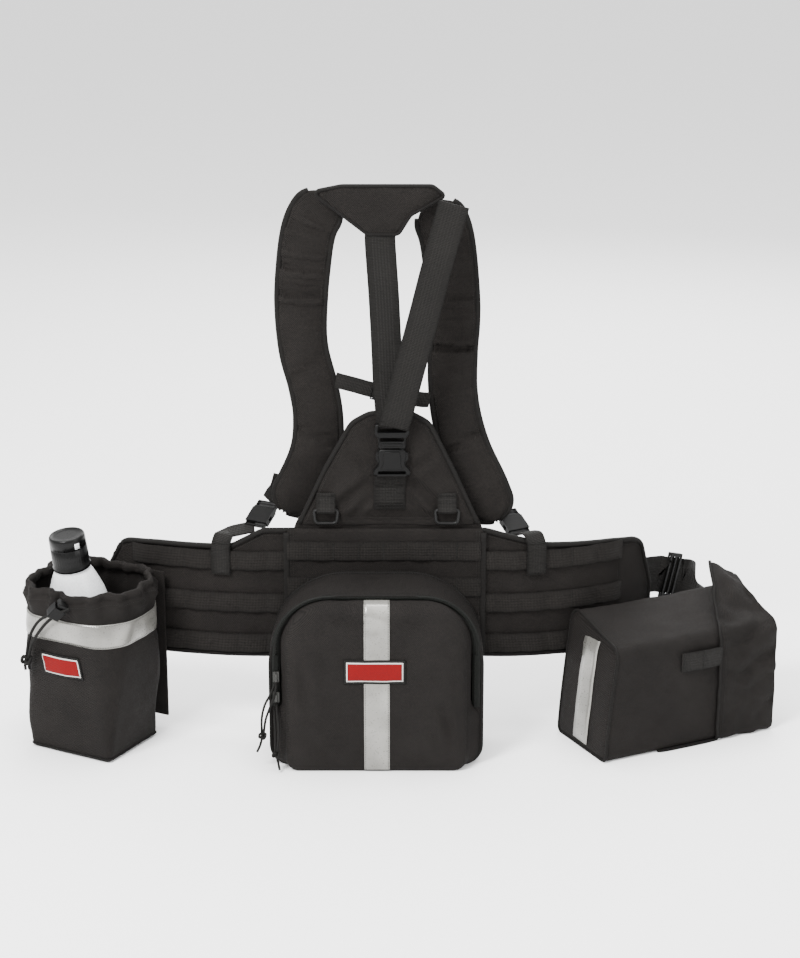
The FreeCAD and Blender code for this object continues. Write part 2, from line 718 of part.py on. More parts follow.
def zip_slider(name):
    z = SLIDER_Z[name]
    y = ZIP_SEAM_Y - 2.4
    body = box((SLIDER_X - 4, y - 4, z - 7), (SLIDER_X + 4, y, z + 7))
    bridge = box((SLIDER_X - 1.5, y - 7.5, z - 6), (SLIDER_X + 1.5, y - 4, z + 5))
    slot = box((SLIDER_X - 2, y - 6, z - 4), (SLIDER_X + 2, y - 4, z + 3))
    return body.fuse(bridge.cut(slot)).removeSplitter()


STRIPE_X = -12.5
STRIPE_HALF = 15.8


def front_strip(half_width, z0, z1, near, far):
    return box((STRIPE_X - half_width, ZIP_FRONT_Y - far, z0), (STRIPE_X + half_width, ZIP_FRONT_Y - near, z1))


LABEL_LOW = 120.0
LABEL_HIGH = 151.0
TAPE = 0.6


def zip_stripe_upper():
    """The reflective tape on the panel, above and below the label."""
    low = front_strip(STRIPE_HALF, ZIP_HINGE_Z + 2, LABEL_LOW - 1, 0.05, 0.05 + TAPE)
    high = front_strip(STRIPE_HALF, LABEL_HIGH + 1, 216, 0.05, 0.05 + TAPE)
    return Part.makeCompound([low, high])


def zip_stripe_lower():
    return front_strip(STRIPE_HALF, 5, ZIP_HINGE_Z - 2, 0.05, 0.05 + TAPE)


def zip_label():
    """Plain label patch across the reflective tape."""
    return box((-53, ZIP_FRONT_Y - 1.6, LABEL_LOW), (23, ZIP_FRONT_Y - 0.05, LABEL_HIGH))


# ---------------------------------------------------------------- shelter pouch
def in_shelter_frame(shape):
    """Local X runs along the pouch, Y from its front to the belt."""
    moved = shape.copy()
    moved.Placement = FreeCAD.Placement(SHELTER_CORNER, FreeCAD.Rotation(Vector(0, 0, 1), SHELTER_TURN))
    return moved


def shelter_block(grow, x0, x1, low, rise_to):
    """A block under the pouch's sloping top, seen from its end and drawn out along X."""
    corners = [
        (-grow, low, 8), (SHELTER_DEPTH + grow, low, 8),
        (SHELTER_DEPTH + grow, SHELTER_HEIGHT + SHELTER_RISE + rise_to, 12), (-grow, SHELTER_HEIGHT + rise_to, 14),
    ]
    face = Part.Face(rounded_wire(corners, lambda p: Vector(x0, p.x, p.y)))
    return face.extrude(Vector(x1 - x0, 0, 0))


def shelter_pouch():
    outer = shelter_block(0, 0, SHELTER_LENGTH, 0, 0)
    wall = SHELTER_WALL
    corners = [
        (wall, wall, 6), (SHELTER_DEPTH - wall, wall, 6),
        (SHELTER_DEPTH - wall, SHELTER_HEIGHT + SHELTER_RISE - wall, 9), (wall, SHELTER_HEIGHT - wall, 10),
    ]
    face = Part.Face(rounded_wire(corners, lambda p: Vector(wall, p.x, p.y)))
    return in_shelter_frame(outer.cut(face.extrude(Vector(SHELTER_LENGTH, 0, 0))))


def shelter_flap():
    """A hood over the open end: end wall, front flange and top flange."""
    skin = 2.5
    end = SHELTER_LENGTH + GAP
    x0 = SHELTER_LENGTH - FLAP_REACH
    outer = shelter_block(GAP + skin, x0, end + skin, 1.0, GAP + skin)
    inner = shelter_block(GAP, x0 - 1, end, -30, GAP)
    hood = outer.cut(inner)
    keep = box((x0 - 5, -20, 1.0), (end + 20, SHELTER_DEPTH - 0.5, 240))
    rounded_edge = box((x0 - 5, SHELTER_DEPTH - 14, 100), (SHELTER_LENGTH, SHELTER_DEPTH + 20, 240))
    return in_shelter_frame(hood.common(keep).cut(rounded_edge))


def shelter_peak():
    """The hood's raised rear corner."""
    x0 = SHELTER_LENGTH - FLAP_REACH
    z = SHELTER_HEIGHT + SHELTER_RISE
    y = SHELTER_DEPTH - 14.5
    points = [Vector(x0, y, z - 1), Vector(x0, y, z + 26), Vector(x0 + 60, y, z - 1)]
    face = Part.Face(Part.makePolygon(points + points[:1]))
    return in_shelter_frame(face.extrude(Vector(0, -2.5, 0)))


def shelter_stripe():
    return in_shelter_frame(box((-0.1 - TAPE, 42, 12), (-0.1, 76, SHELTER_HEIGHT - 6)))


def shelter_webbing():
    loop = box((99, -2.6, 105), (161, -0.1, 131))
    under = box((78, -8, 0), (160, 4, 2.4)).cut(shelter_block(0.1, 0, SHELTER_LENGTH, 0, 0))
    return Part.makeCompound([in_shelter_frame(loop), in_shelter_frame(under)])


# ---------------------------------------------------------------- assembly
def add(name, shape):
    NODES[name] = shape


def build_belt():
    add("hip_pad_left", hip_pad("left"))
    add("hip_pad_right", hip_pad("right"))
    add("lumbar_panel", lumbar_panel())
    add("webbing_rows_wings", webbing_rows_wings())
    add("webbing_rows_center", webbing_rows_center())
    add("waist_strap_left", ribbon(WAIST_LEFT, WAIST_WEB, WEB))
    add("waist_strap_right", ribbon(WAIST_RIGHT, WAIST_WEB, WEB))


def build_waist_buckle():
    low = WAIST_RIGHT[-1][0]
    plug_at = (low[0], low[1], low[2] - 22.5)
    add("waist_plug", stand(buckle_plug(WAIST_WEB), plug_at, WAIST_RIGHT[-1][1], (0, 0, 1)))
    add("waist_prong_front", stand(buckle_prong(WAIST_WEB, 1), plug_at, WAIST_RIGHT[-1][1], (0, 0, 1)))
    add("waist_prong_rear", stand(buckle_prong(WAIST_WEB, -1), plug_at, WAIST_RIGHT[-1][1], (0, 0, 1)))
    low = WAIST_LEFT[-1][0]
    socket_at = (low[0], low[1], low[2] - 52.0)
    add("waist_socket", stand(buckle_socket(WAIST_WEB), socket_at, WAIST_LEFT[-1][1], (0, 0, -1)))


def build_harness():
    add("back_plate", plate(PLATE_CORNERS, PLATE_FRONT, PLATE_BACK))
    add("plate_tabs", plate_tabs())
    for side in ("left", "right"):
        add("ring_" + side, ring(side))
    add("yoke_pad", plate(YOKE_CORNERS, 2, 2 + YOKE_THICK))
    add("shoulder_pad_left", shoulder_pad(SHOULDER_LEFT))
    add("shoulder_pad_right", shoulder_pad(SHOULDER_RIGHT))
    add("yoke_strap", yoke_strap())
    add("strap_tail", strap_tail())
    add("sternum_straps", sternum_straps())
    add("sternum_socket", stand(buckle_socket(20), STERNUM_AT, (0.23, 0, 0.97), STERNUM_ALONG))
    add("sternum_plug", stand(buckle_plug(20), STERNUM_AT, (0.23, 0, 0.97), STERNUM_ALONG))


def build_buckle(prefix, web, origin, across, along):
    add(prefix + "_socket", stand(buckle_socket(web), origin, across, along))
    add(prefix + "_plug", stand(buckle_plug(web), origin, across, along))
    add(prefix + "_prong_left", stand(buckle_prong(web, -1), origin, across, along))
    add(prefix + "_prong_right", stand(buckle_prong(web, 1), origin, across, along))


def build_side_straps():
    add("hanger_straps", Part.makeCompound([hanger("left"), hanger("right")]))
    add("side_straps", side_straps())
    for side in ("left", "right"):
        build_buckle("side_" + side, SIDE_WEB, SIDE_AT[side], SIDE_ACROSS[side], SIDE_ALONG[side])


def build_bottle_pouch():
    add("bottle_pouch", bottle_pouch())
    add("bottle_pouch_back", bottle_pouch_back())
    add("bottle_band", bottle_band())
    add("bottle_label", bottle_label())
    add("bottle", bottle())
    add("bottle_cap", bottle_cap())
    add("cord_lock_body", cord_lock_body())
    add("cord_lock_button", cord_lock_button())
    add("draw_cord", draw_cord())


def build_zip_pouch():
    add("zip_pouch", zip_pouch())
    add("zip_panel", zip_panel())
    add("zip_coil", zip_coil())
    add("zip_slider_upper", zip_slider("upper"))
    add("zip_slider_lower", zip_slider("lower"))
    add("pull_cord_upper", pull_cord(UPPER_STRANDS, UPPER_KNOT, UPPER_TAIL, "upper pull"))
    add("pull_cord_lower", pull_cord(LOWER_STRANDS, LOWER_KNOT, LOWER_TAIL, "lower pull"))
    add("zip_stripe_upper", zip_stripe_upper())
    add("zip_label", zip_label())


def build_shelter_pouch():
    add("shelter_pouch", shelter_pouch())
    add("shelter_flap", shelter_flap().fuse(shelter_peak()))
    add("shelter_webbing", shelter_webbing())


build_belt()
build_waist_buckle()
build_harness()
build_buckle("back", HARNESS_WEB, HARNESS_BUCKLE, (1, 0, 0), (0, 0, 1))
build_side_straps()
build_bottle_pouch()
build_zip_pouch()
build_shelter_pouch()
add("reflective_tapes", Part.makeCompound([zip_stripe_lower(), shelter_stripe()]))
slider_from = Vector(*WAIST_RIGHT[3][0])
slider_to = Vector(*WAIST_RIGHT[4][0])
add("waist_slider", stand(waist_slider(), (slider_from + slider_to) / 2, (0, 0, 1), slider_to - slider_from))

low = Vector(1e9, 1e9, 1e9)
high = Vector(-1e9, -1e9, -1e9)
for name, shape in NODES.items():
    shape.translate(DATUM)
    bounds = shape.BoundBox
    low = Vector(min(low.x, bounds.XMin), min(low.y, bounds.YMin), min(low.z, bounds.ZMin))
    high = Vector(max(high.x, bounds.XMax), max(high.y, bounds.YMax), max(high.z, bounds.ZMax))
    if not shape.isValid() or shape.Volume <= 0:
        print("check", name, shape.isValid(), shape.Volume)
    shape.exportStep("parts/" + name + ".step")
print(len(NODES), "nodes, box", low, high)
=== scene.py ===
"""Tool belt with a shoulder harness, a bottle pouch, a zip pouch and a hooded side pouch."""
import logging
import math
from dataclasses import dataclass
from enum import Enum
from typing import Callable, Iterable, Optional, Sequence

import bmesh
import bpy
import numpy as np
from mathutils import Matrix, Vector, noise


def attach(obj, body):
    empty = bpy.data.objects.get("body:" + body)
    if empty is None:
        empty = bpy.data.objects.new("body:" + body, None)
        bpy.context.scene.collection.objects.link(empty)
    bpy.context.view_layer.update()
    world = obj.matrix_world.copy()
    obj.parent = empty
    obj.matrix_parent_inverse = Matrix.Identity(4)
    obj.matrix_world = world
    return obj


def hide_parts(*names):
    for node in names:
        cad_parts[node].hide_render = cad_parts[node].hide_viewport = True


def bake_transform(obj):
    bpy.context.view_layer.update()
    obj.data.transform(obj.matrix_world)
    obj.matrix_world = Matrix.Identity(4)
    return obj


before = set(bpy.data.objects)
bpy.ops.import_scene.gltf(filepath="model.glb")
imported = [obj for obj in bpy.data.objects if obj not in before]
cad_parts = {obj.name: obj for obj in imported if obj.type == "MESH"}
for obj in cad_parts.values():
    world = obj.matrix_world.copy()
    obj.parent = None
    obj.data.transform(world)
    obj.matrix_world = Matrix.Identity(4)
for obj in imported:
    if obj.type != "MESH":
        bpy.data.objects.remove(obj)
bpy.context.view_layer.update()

LOG = logging.getLogger("tool_belt")

MM = 0.001
ORIGIN = Vector((-22.2, -45.8, 0.0))     # the belt's own zero point in the row frame, mm
UP = Vector((0, 0, 1))
FRONT = Vector((0, -1, 0))
RIGHT = Vector((1, 0, 0))

Point = Sequence[float]


# ------------------------------------------------------------------ geometry helpers
def at(x: float, y: float, z: float) -> Vector:
    """Turns belt millimetres into row-frame metres."""
    return (Vector((x, y, z)) + ORIGIN) * MM


def direction(x: float, y: float, z: float) -> Vector:
    """A unit vector."""
    return Vector((x, y, z)).normalized()


def smoothstep(low: float, high: float, value: float) -> float:
    """Eased 0 to 1 ramp between low and high."""
    share = min(max((value - low) / (high - low), 0.0), 1.0)
    return share * share * (3 - 2 * share)


def curve_through(points: Sequence[Vector], steps: int, closed: bool = False) -> list[Vector]:
    """Catmull-Rom curve through points.

    Args:
        points: points the curve passes.
        steps: divisions of each span.
        closed: whether the last point joins the first.

    Returns:
        Evenly parametrised points, the ends included.
    """
    count = len(points)
    spans = count if closed else count - 1
    result = []
    for index in range(spans):
        if closed:
            p0, p1, p2, p3 = (points[(index + k - 1) % count] for k in range(4))
        else:
            p1, p2 = points[index], points[index + 1]
            p0 = points[index - 1] if index else p1 * 2 - p2
            p3 = points[index + 2] if index + 2 < count else p2 * 2 - p1
        for step in range(steps):
            t = step / steps
            result.append(0.5 * ((2 * p1) + (p2 - p0) * t + (2 * p0 - 5 * p1 + 4 * p2 - p3) * t * t
                                 + (3 * p1 - p0 - 3 * p2 + p3) * t * t * t))
    if not closed:
        result.append(points[-1].copy())
    return result


def resample(points: Sequence[Vector], spacing: float, closed: bool = False) -> list[Vector]:
    """Points at even distances along a polyline."""
    chain = list(points) + ([points[0]] if closed else [])
    lengths = [0.0]
    for a, b in zip(chain, chain[1:]):
        lengths.append(lengths[-1] + (b - a).length)
    total = lengths[-1]
    count = max(int(round(total / spacing)), 2)
    result = []
    index = 0
    for step in range(count if closed else count + 1):
        goal = total * step / count
        while index < len(lengths) - 2 and lengths[index + 1] < goal:
            index += 1
        span = lengths[index + 1] - lengths[index]
        share = (goal - lengths[index]) / span if span else 0.0
        result.append(chain[index].lerp(chain[index + 1], share))
    return result


def rounded_outline(corners: Sequence[Point], arc_steps: int = 8) -> list[tuple[float, float]]:
    """Closed outline through corners (u, v, radius) with round corners, in the corners' own units."""
    outline = []
    count = len(corners)
    for index in range(count):
        u, v, radius = corners[index]
        here = Vector((u, v))
        back = (Vector(corners[index - 1][:2]) - here).normalized()
        ahead = (Vector(corners[(index + 1) % count][:2]) - here).normalized()
        half = back.angle(ahead) / 2
        reach = radius / math.tan(half)
        start = here + back * reach
        end = here + ahead * reach
        centre = here + (back + ahead).normalized() * (radius / math.sin(half))
        for step in range(arc_steps + 1):
            chord = start.lerp(end, step / arc_steps) - centre
            outline.append(tuple(centre + chord.normalized() * radius))
    return outline


def crumple(point: Vector, size: float, depth: float, seed: float = 0.0) -> float:
    """Smooth random height of about plus or minus depth, with folds of the given size in metres."""
    shifted = point / size + Vector((seed, seed * 1.7, seed * 0.6))
    return depth * (noise.noise(shifted) + 0.45 * noise.noise(shifted * 2.1))


def crease(point: Vector, start: Vector, end: Vector, width: float, depth: float) -> float:
    """Height of one fold: a groove along start to end with a soft ridge on each side."""
    along = end - start
    share = min(max((point - start).dot(along) / along.length_squared, 0.0), 1.0)
    gap = (point - (start + along * share)).length / width
    fade = math.sin(math.pi * min(max(share, 0.06), 0.94)) ** 0.5
    return -depth * fade * (math.exp(-gap * gap) - 0.45 * math.exp(-((gap - 1.6) ** 2) * 1.5))


def new_object(name: str, verts: Sequence[Vector], faces: Sequence[Sequence[int]],
               uvs: Optional[Sequence[Sequence[tuple[float, float]]]] = None) -> bpy.types.Object:
    """Makes a smooth mesh object in the scene.

    Args:
        name: the piece's name.
        verts: corner positions in metres.
        faces: corner indices of each face.
        uvs: for each face, one (u, v) for each corner.

    Returns:
        The new object.
    """
    mesh = bpy.data.meshes.new(name)
    mesh.from_pydata([tuple(v) for v in verts], [], [tuple(f) for f in faces])
    if uvs is not None:
        layer = mesh.uv_layers.new(name="UVMap")
        flat = [value for face in uvs for corner in face for value in corner]
        layer.data.foreach_set("uv", flat)
    mesh.validate()
    mesh.polygons.foreach_set("use_smooth", [True] * len(mesh.polygons))
    mesh.update()
    obj = bpy.data.objects.new(name, mesh)
    bpy.context.scene.collection.objects.link(obj)
    return obj


def face_outwards(obj: bpy.types.Object) -> None:
    """Points every face of a closed mesh outwards."""
    mesh = bmesh.new()
    mesh.from_mesh(obj.data)
    bmesh.ops.recalc_face_normals(mesh, faces=mesh.faces)
    mesh.to_mesh(obj.data)
    mesh.free()


def baked(obj: bpy.types.Object) -> bpy.types.Object:
    """Turns what the object shows, modifiers and curve bevel included, into its own plain mesh."""
    depsgraph = bpy.context.evaluated_depsgraph_get()
    mesh = bpy.data.meshes.new_from_object(obj.evaluated_get(depsgraph))
    if obj.type == "MESH":
        obj.modifiers.clear()
        obj.data = mesh
        return obj
    name = obj.name
    bpy.data.objects.remove(obj)
    plain = bpy.data.objects.new(name, mesh)
    bpy.context.scene.collection.objects.link(plain)
    return plain


def joined(name: str, parts: Sequence[bpy.types.Object]) -> bpy.types.Object:
    """One object with the meshes of all parts, their materials and UV maps kept."""
    mesh = bmesh.new()
    slots: list[bpy.types.Material] = []
    for part in parts:
        first = len(mesh.faces)
        mesh.from_mesh(part.data)
        mesh.faces.ensure_lookup_table()
        own = [slot for slot in part.data.materials]
        for face in mesh.faces[first:]:
            material = own[face.material_index] if own else None
            if material is not None:
                if material not in slots:
                    slots.append(material)
                face.material_index = slots.index(material)
    data = bpy.data.meshes.new(name)
    mesh.to_mesh(data)
    mesh.free()
    for material in slots:
        data.materials.append(material)
    for part in parts:
        bpy.data.objects.remove(part)
    obj = bpy.data.objects.new(name, data)
    bpy.context.scene.collection.objects.link(obj)
    return obj


def sweep(name: str, path: Sequence[Vector], across: Sequence[Vector] | Vector,
          width: float | Sequence[float], thickness: float | Sequence[float], closed: bool = False,
          squareness: float = 5.0, sides: int = 12) -> bpy.types.Object:
    """A band with a soft rectangular or oval section drawn along a path.

    Args:
        name: the piece's name.
        path: centre points in metres.
        across: direction of the width, one for all or one for each point.
        width: full width in metres, one for all or one for each point.
        thickness: full thickness in metres, one for all or one for each point.
        closed: whether the band joins its own start.
        squareness: 2 gives an oval section, larger values a boxy one.
        sides: points round the section.

    Returns:
        The band, with U round it and V along it in metres.
    """
    count = len(path)
    wide = list(across) if not isinstance(across, Vector) else [across] * count
    widths = list(width) if not isinstance(width, (int, float)) else [width] * count
    thicks = list(thickness) if not isinstance(thickness, (int, float)) else [thickness] * count
    verts = []
    runs = [0.0]
    for index in range(count):
        before = path[index - 1] if index or closed else path[0]
        after = path[(index + 1) % count] if index + 1 < count or closed else path[-1]
        heading = (after - before).normalized()
        side = (wide[index] - heading * wide[index].dot(heading)).normalized()
        lift = heading.cross(side)
        for step in range(sides):
            angle = 2 * math.pi * (step + 0.5) / sides
            c, s = math.cos(angle), math.sin(angle)
            u = math.copysign(abs(c) ** (2 / squareness), c) * widths[index] / 2
            v = math.copysign(abs(s) ** (2 / squareness), s) * thicks[index] / 2
            verts.append(path[index] + side * u + lift * v)
        if index:
            runs.append(runs[-1] + (path[index] - path[index - 1]).length)
    runs.append(runs[-1] + (path[0] - path[-1]).length)
    faces, uvs = [], []
    round_step = (widths[0] + thicks[0]) * 2 / sides
    for index in range(count if closed else count - 1):
        row, following = index * sides, ((index + 1) % count) * sides
        for step in range(sides):
            other = (step + 1) % sides
            faces.append((row + step, row + other, following + other, following + step))
            u0, u1 = step * round_step, (step + 1) * round_step
            v0, v1 = runs[index], runs[index + 1]
            uvs.append(((u0, v0), (u1, v0), (u1, v1), (u0, v1)))
    if not closed:
        for ring, flip in ((0, True), (count - 1, False)):
            loop = [ring * sides + step for step in range(sides)]
            faces.append(tuple(reversed(loop)) if flip else tuple(loop))
            uvs.append(tuple((0.0, runs[ring]) for _ in loop))
    obj = new_object(name, verts, faces, uvs)
    face_outwards(obj)
    return obj


def tube(name: str, path: Sequence[Vector], radius: float, closed: bool = False, sides: int = 8) -> bpy.types.Object:
    """A round cord or piping along a path."""
    count = len(path)
    guides = []
    side = Vector((0.31, 0.87, 0.39))
    for index in range(count):
        before = path[index - 1] if index or closed else path[0]
        after = path[(index + 1) % count] if index + 1 < count or closed else path[-1]
        heading = (after - before).normalized()
        side = (side - heading * side.dot(heading)).normalized()
        guides.append(side.copy())
    return sweep(name, path, guides, 2 * radius, 2 * radius, closed, 2.0, sides)


def ring_sheet(name: str, rings: Sequence[Sequence[Vector]], closed: bool = True,
               centre: bool = False) -> bpy.types.Object:
    """A skin through rings of points, with V from ring to ring and U round them, in metres.

    Args:
        name: the piece's name.
        rings: rows of points, all of one length.
        closed: whether each ring joins its own start.
        centre: whether the last ring is filled to its middle point.

    Returns:
        The open skin.
    """
    across = len(rings[0])
    verts = [p for ring in rings for p in ring]
    faces, uvs = [], []
    drops = [0.0]
    for a, b in zip(rings, rings[1:]):
        drops.append(drops[-1] + sum((q - p).length for p, q in zip(a, b)) / across)
    widest = max(rings, key=lambda ring: (ring[0] - ring[across // 2]).length)
    turns = [0.0]
    for index in range(across):
        turns.append(turns[-1] + (widest[(index + 1) % across] - widest[index]).length)
    for row in range(len(rings) - 1):
        for step in range(across if closed else across - 1):
            other = (step + 1) % across
            faces.append((row * across + step, row * across + other,
                          (row + 1) * across + other, (row + 1) * across + step))
            uvs.append(((turns[step], drops[row]), (turns[step + 1], drops[row]),
                        (turns[step + 1], drops[row + 1]), (turns[step], drops[row + 1])))
    if centre:
        last = (len(rings) - 1) * across
        verts.append(sum(rings[-1], Vector()) / across)
        for step in range(across):
            other = (step + 1) % across
            faces.append((last + step, last + other, len(verts) - 1))
            uvs.append(((turns[step], drops[-1]), (turns[step + 1], drops[-1]), (turns[step], drops[-1] + 0.01)))
    return new_object(name, verts, faces, uvs)


def thickened(obj: bpy.types.Object, thickness: float, offset: float = -1.0) -> bpy.types.Object:
    """Gives a skin a wall; offset -1 grows it inwards from the drawn face."""
    solidify = obj.modifiers.new("wall", "SOLIDIFY")
    solidify.thickness = thickness
    solidify.offset = offset
    solidify.use_rim = True
    return baked(obj)


def subdivided(obj: bpy.types.Object, levels: int = 1) -> bpy.types.Object:
    """Applies a subdivision surface."""
    surface = obj.modifiers.new("soft", "SUBSURF")
    surface.levels = levels
    surface.render_levels = levels
    result = baked(obj)
    result.data.polygons.foreach_set("use_smooth", [True] * len(result.data.polygons))
    return result


def moved_points(obj: bpy.types.Object, shift: Callable[[Vector, Vector], Vector]) -> bpy.types.Object:
    """Moves each point by shift(point, normal), in metres."""
    shifts = [shift(v.co.copy(), v.normal.copy()) for v in obj.data.vertices]
    for vertex, change in zip(obj.data.vertices, shifts):
        vertex.co += change
    obj.data.update()
    return obj


def node_copy(node: str, name: str) -> bpy.types.Object:
    """A merged copy of a CAD node's mesh, as a new object."""
    mesh = bmesh.new()
    mesh.from_mesh(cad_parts[node].data)
    bmesh.ops.remove_doubles(mesh, verts=mesh.verts, dist=1e-5)
    bmesh.ops.dissolve_limit(mesh, angle_limit=math.radians(2), verts=mesh.verts, edges=mesh.edges)
    bmesh.ops.recalc_face_normals(mesh, faces=mesh.faces)
    data = bpy.data.meshes.new(name)
    mesh.to_mesh(data)
    mesh.free()
    obj = bpy.data.objects.new(name, data)
    bpy.context.scene.collection.objects.link(obj)
    return obj


def moulded_copy(node: str, name: str, radius: float, segments: int = 3) -> bpy.types.Object:
    """A copy of a CAD node with rounded moulding edges."""
    obj = node_copy(node, name)
    bevel = obj.modifiers.new("edges", "BEVEL")
    bevel.width = radius
    bevel.segments = segments
    bevel.limit_method = "ANGLE"
    bevel.angle_limit = math.radians(30)
    bevel.harden_normals = False
    result = baked(obj)
    result.data.polygons.foreach_set("use_smooth", [True] * len(result.data.polygons))
    weighted = result.modifiers.new("shading", "WEIGHTED_NORMAL")
    weighted.keep_sharp = True
    return baked(result)


def moulded_plate(name: str, outline: Sequence[tuple[float, float]], holes: Sequence[Sequence[tuple[float, float]]],
                  thickness: float, place: Callable[[float, float, float], Vector], radius: float) -> bpy.types.Object:
    """A moulded part: an outline with holes, given a thickness and round edges.

    Args:
        name: the piece's name.
        outline: outer edge in mm.
        holes: inner edges in mm.
        thickness: in mm, centred on the drawing plane.
        place: maps (u, v, depth) in mm to the row frame.
        radius: edge radius in mm.

    Returns:
        The solid.
    """
    curve = bpy.data.curves.new(name, "CURVE")
    curve.dimensions = "2D"
    curve.fill_mode = "BOTH"
    curve.extrude = thickness / 2 - radius
    curve.bevel_depth = radius
    curve.bevel_resolution = 2
    curve.offset = -radius
    for loop in (outline, *holes):
        spline = curve.splines.new("POLY")
        spline.points.add(len(loop) - 1)
        for point, (u, v) in zip(spline.points, loop):
            point.co = (u, v, 0, 1)
        spline.use_cyclic_u = True
    obj = bpy.data.objects.new(name, curve)
    bpy.context.scene.collection.objects.link(obj)
    solid = baked(obj)
    mesh = bmesh.new()
    mesh.from_mesh(solid.data)
    bmesh.ops.remove_doubles(mesh, verts=mesh.verts, dist=1e-3)
    for vertex in mesh.verts:
        vertex.co = place(*vertex.co)
    bmesh.ops.recalc_face_normals(mesh, faces=mesh.faces)
    mesh.to_mesh(solid.data)
    mesh.free()
    return solid


def puffed(obj: bpy.types.Object, voxel: float, cap: float, pressure: float = 4.0,
           held: Optional[Callable[[Vector], float]] = None, smooth: int = 3) -> bpy.types.Object:
    """Inflates a closed solid by cloth simulation, the way foam fills a sewn cover.

    Args:
        obj: the closed starting solid.
        voxel: remesh size in metres.
        cap: how far a point may move, in metres.
        pressure: the cloth's inner pressure.
        held: how firmly a point stays, 0 to 1; seams and quilting lines are held.
        smooth: smoothing rounds before the simulation.

    Returns:
        The padded mesh.
    """
    remesh = obj.modifiers.new("even", "REMESH")
    remesh.mode = "VOXEL"
    remesh.voxel_size = voxel
    relax = obj.modifiers.new("relax", "SMOOTH")
    relax.factor = 0.5
    relax.iterations = smooth
    obj = baked(obj)
    start = [v.co.copy() for v in obj.data.vertices]
    if held is not None:
        group = obj.vertex_groups.new(name="held")
        for vertex in obj.data.vertices:
            group.add([vertex.index], held(vertex.co), "REPLACE")
    cloth = obj.modifiers.new("cloth", "CLOTH")
    cloth.settings.quality = 5
    cloth.settings.mass = 0.25
    cloth.settings.tension_stiffness = 18
    cloth.settings.compression_stiffness = 12
    cloth.settings.shear_stiffness = 6
    cloth.settings.bending_stiffness = 1.5
    cloth.settings.use_pressure = True
    cloth.settings.uniform_pressure_force = pressure
    cloth.settings.effector_weights.gravity = 0
    if held is not None:
        cloth.settings.vertex_group_mass = "held"
        cloth.settings.pin_stiffness = 1
    cloth.point_cache.frame_start = 1
    cloth.point_cache.frame_end = 20
    for number in range(1, 21):
        bpy.context.scene.frame_set(number)
    shown = obj.evaluated_get(bpy.context.evaluated_depsgraph_get())
    swollen = [v.co.copy() for v in shown.data.vertices]
    obj.modifiers.clear()
    bpy.context.scene.frame_set(1)
    for vertex, was, now in zip(obj.data.vertices, start, swollen):
        change = now - was
        if change.length > cap:
            change *= cap / change.length
        vertex.co = was + change
    if held is not None:
        obj.vertex_groups.clear()
    return subdivided(obj)


# ------------------------------------------------------------------ repeated stitches and teeth
class Repeat(Enum):
    """What a repeating tree sets along a path."""
    STITCH = "stitch"
    TOOTH = "tooth"
    BAR = "bar"


def repeat_tree(kind: Repeat) -> bpy.types.NodeTree:
    """Geometry Nodes tree that sets small solids at even distances along curves."""
    name = "repeat_" + kind.value
    if name in bpy.data.node_groups:
        return bpy.data.node_groups[name]
    tree = bpy.data.node_groups.new(name, "GeometryNodeTree")
    face = tree.interface
    face.new_socket("Geometry", in_out="INPUT", socket_type="NodeSocketGeometry")
    for label, value in (("Spacing", 0.003), ("Length", 0.002), ("Width", 0.0006), ("Height", 0.0006)):
        socket = face.new_socket(label, in_out="INPUT", socket_type="NodeSocketFloat")
        socket.default_value = value
    face.new_socket("Finish", in_out="INPUT", socket_type="NodeSocketMaterial")
    face.new_socket("Geometry", in_out="OUTPUT", socket_type="NodeSocketGeometry")
    nodes, links = tree.nodes, tree.links
    source = nodes.new("NodeGroupInput")
    sink = nodes.new("NodeGroupOutput")
    to_points = nodes.new("GeometryNodeCurveToPoints")
    to_points.mode = "LENGTH"
    links.new(source.outputs["Geometry"], to_points.inputs["Curve"])
    links.new(source.outputs["Spacing"], to_points.inputs["Length"])
    if kind is Repeat.TOOTH:
        solid = nodes.new("GeometryNodeMeshCube")
        solid.inputs["Vertices X"].default_value = 2
    else:
        solid = nodes.new("GeometryNodeMeshIcoSphere")
        solid.inputs["Radius"].default_value = 0.5
        solid.inputs["Subdivisions"].default_value = 1
    size = nodes.new("ShaderNodeCombineXYZ")
    links.new(source.outputs["Width"], size.inputs["X"])
    links.new(source.outputs["Height"], size.inputs["Y"])
    links.new(source.outputs["Length"], size.inputs["Z"])
    instance = nodes.new("GeometryNodeInstanceOnPoints")
    links.new(to_points.outputs["Points"], instance.inputs["Points"])
    links.new(solid.outputs["Mesh"], instance.inputs["Instance"])
    links.new(to_points.outputs["Rotation"], instance.inputs["Rotation"])
    links.new(size.outputs["Vector"], instance.inputs["Scale"])
    realize = nodes.new("GeometryNodeRealizeInstances")
    links.new(instance.outputs["Instances"], realize.inputs["Geometry"])
    dress = nodes.new("GeometryNodeSetMaterial")
    links.new(realize.outputs["Geometry"], dress.inputs["Geometry"])
    links.new(source.outputs["Finish"], dress.inputs["Material"])
    links.new(dress.outputs["Geometry"], sink.inputs["Geometry"])
    return tree


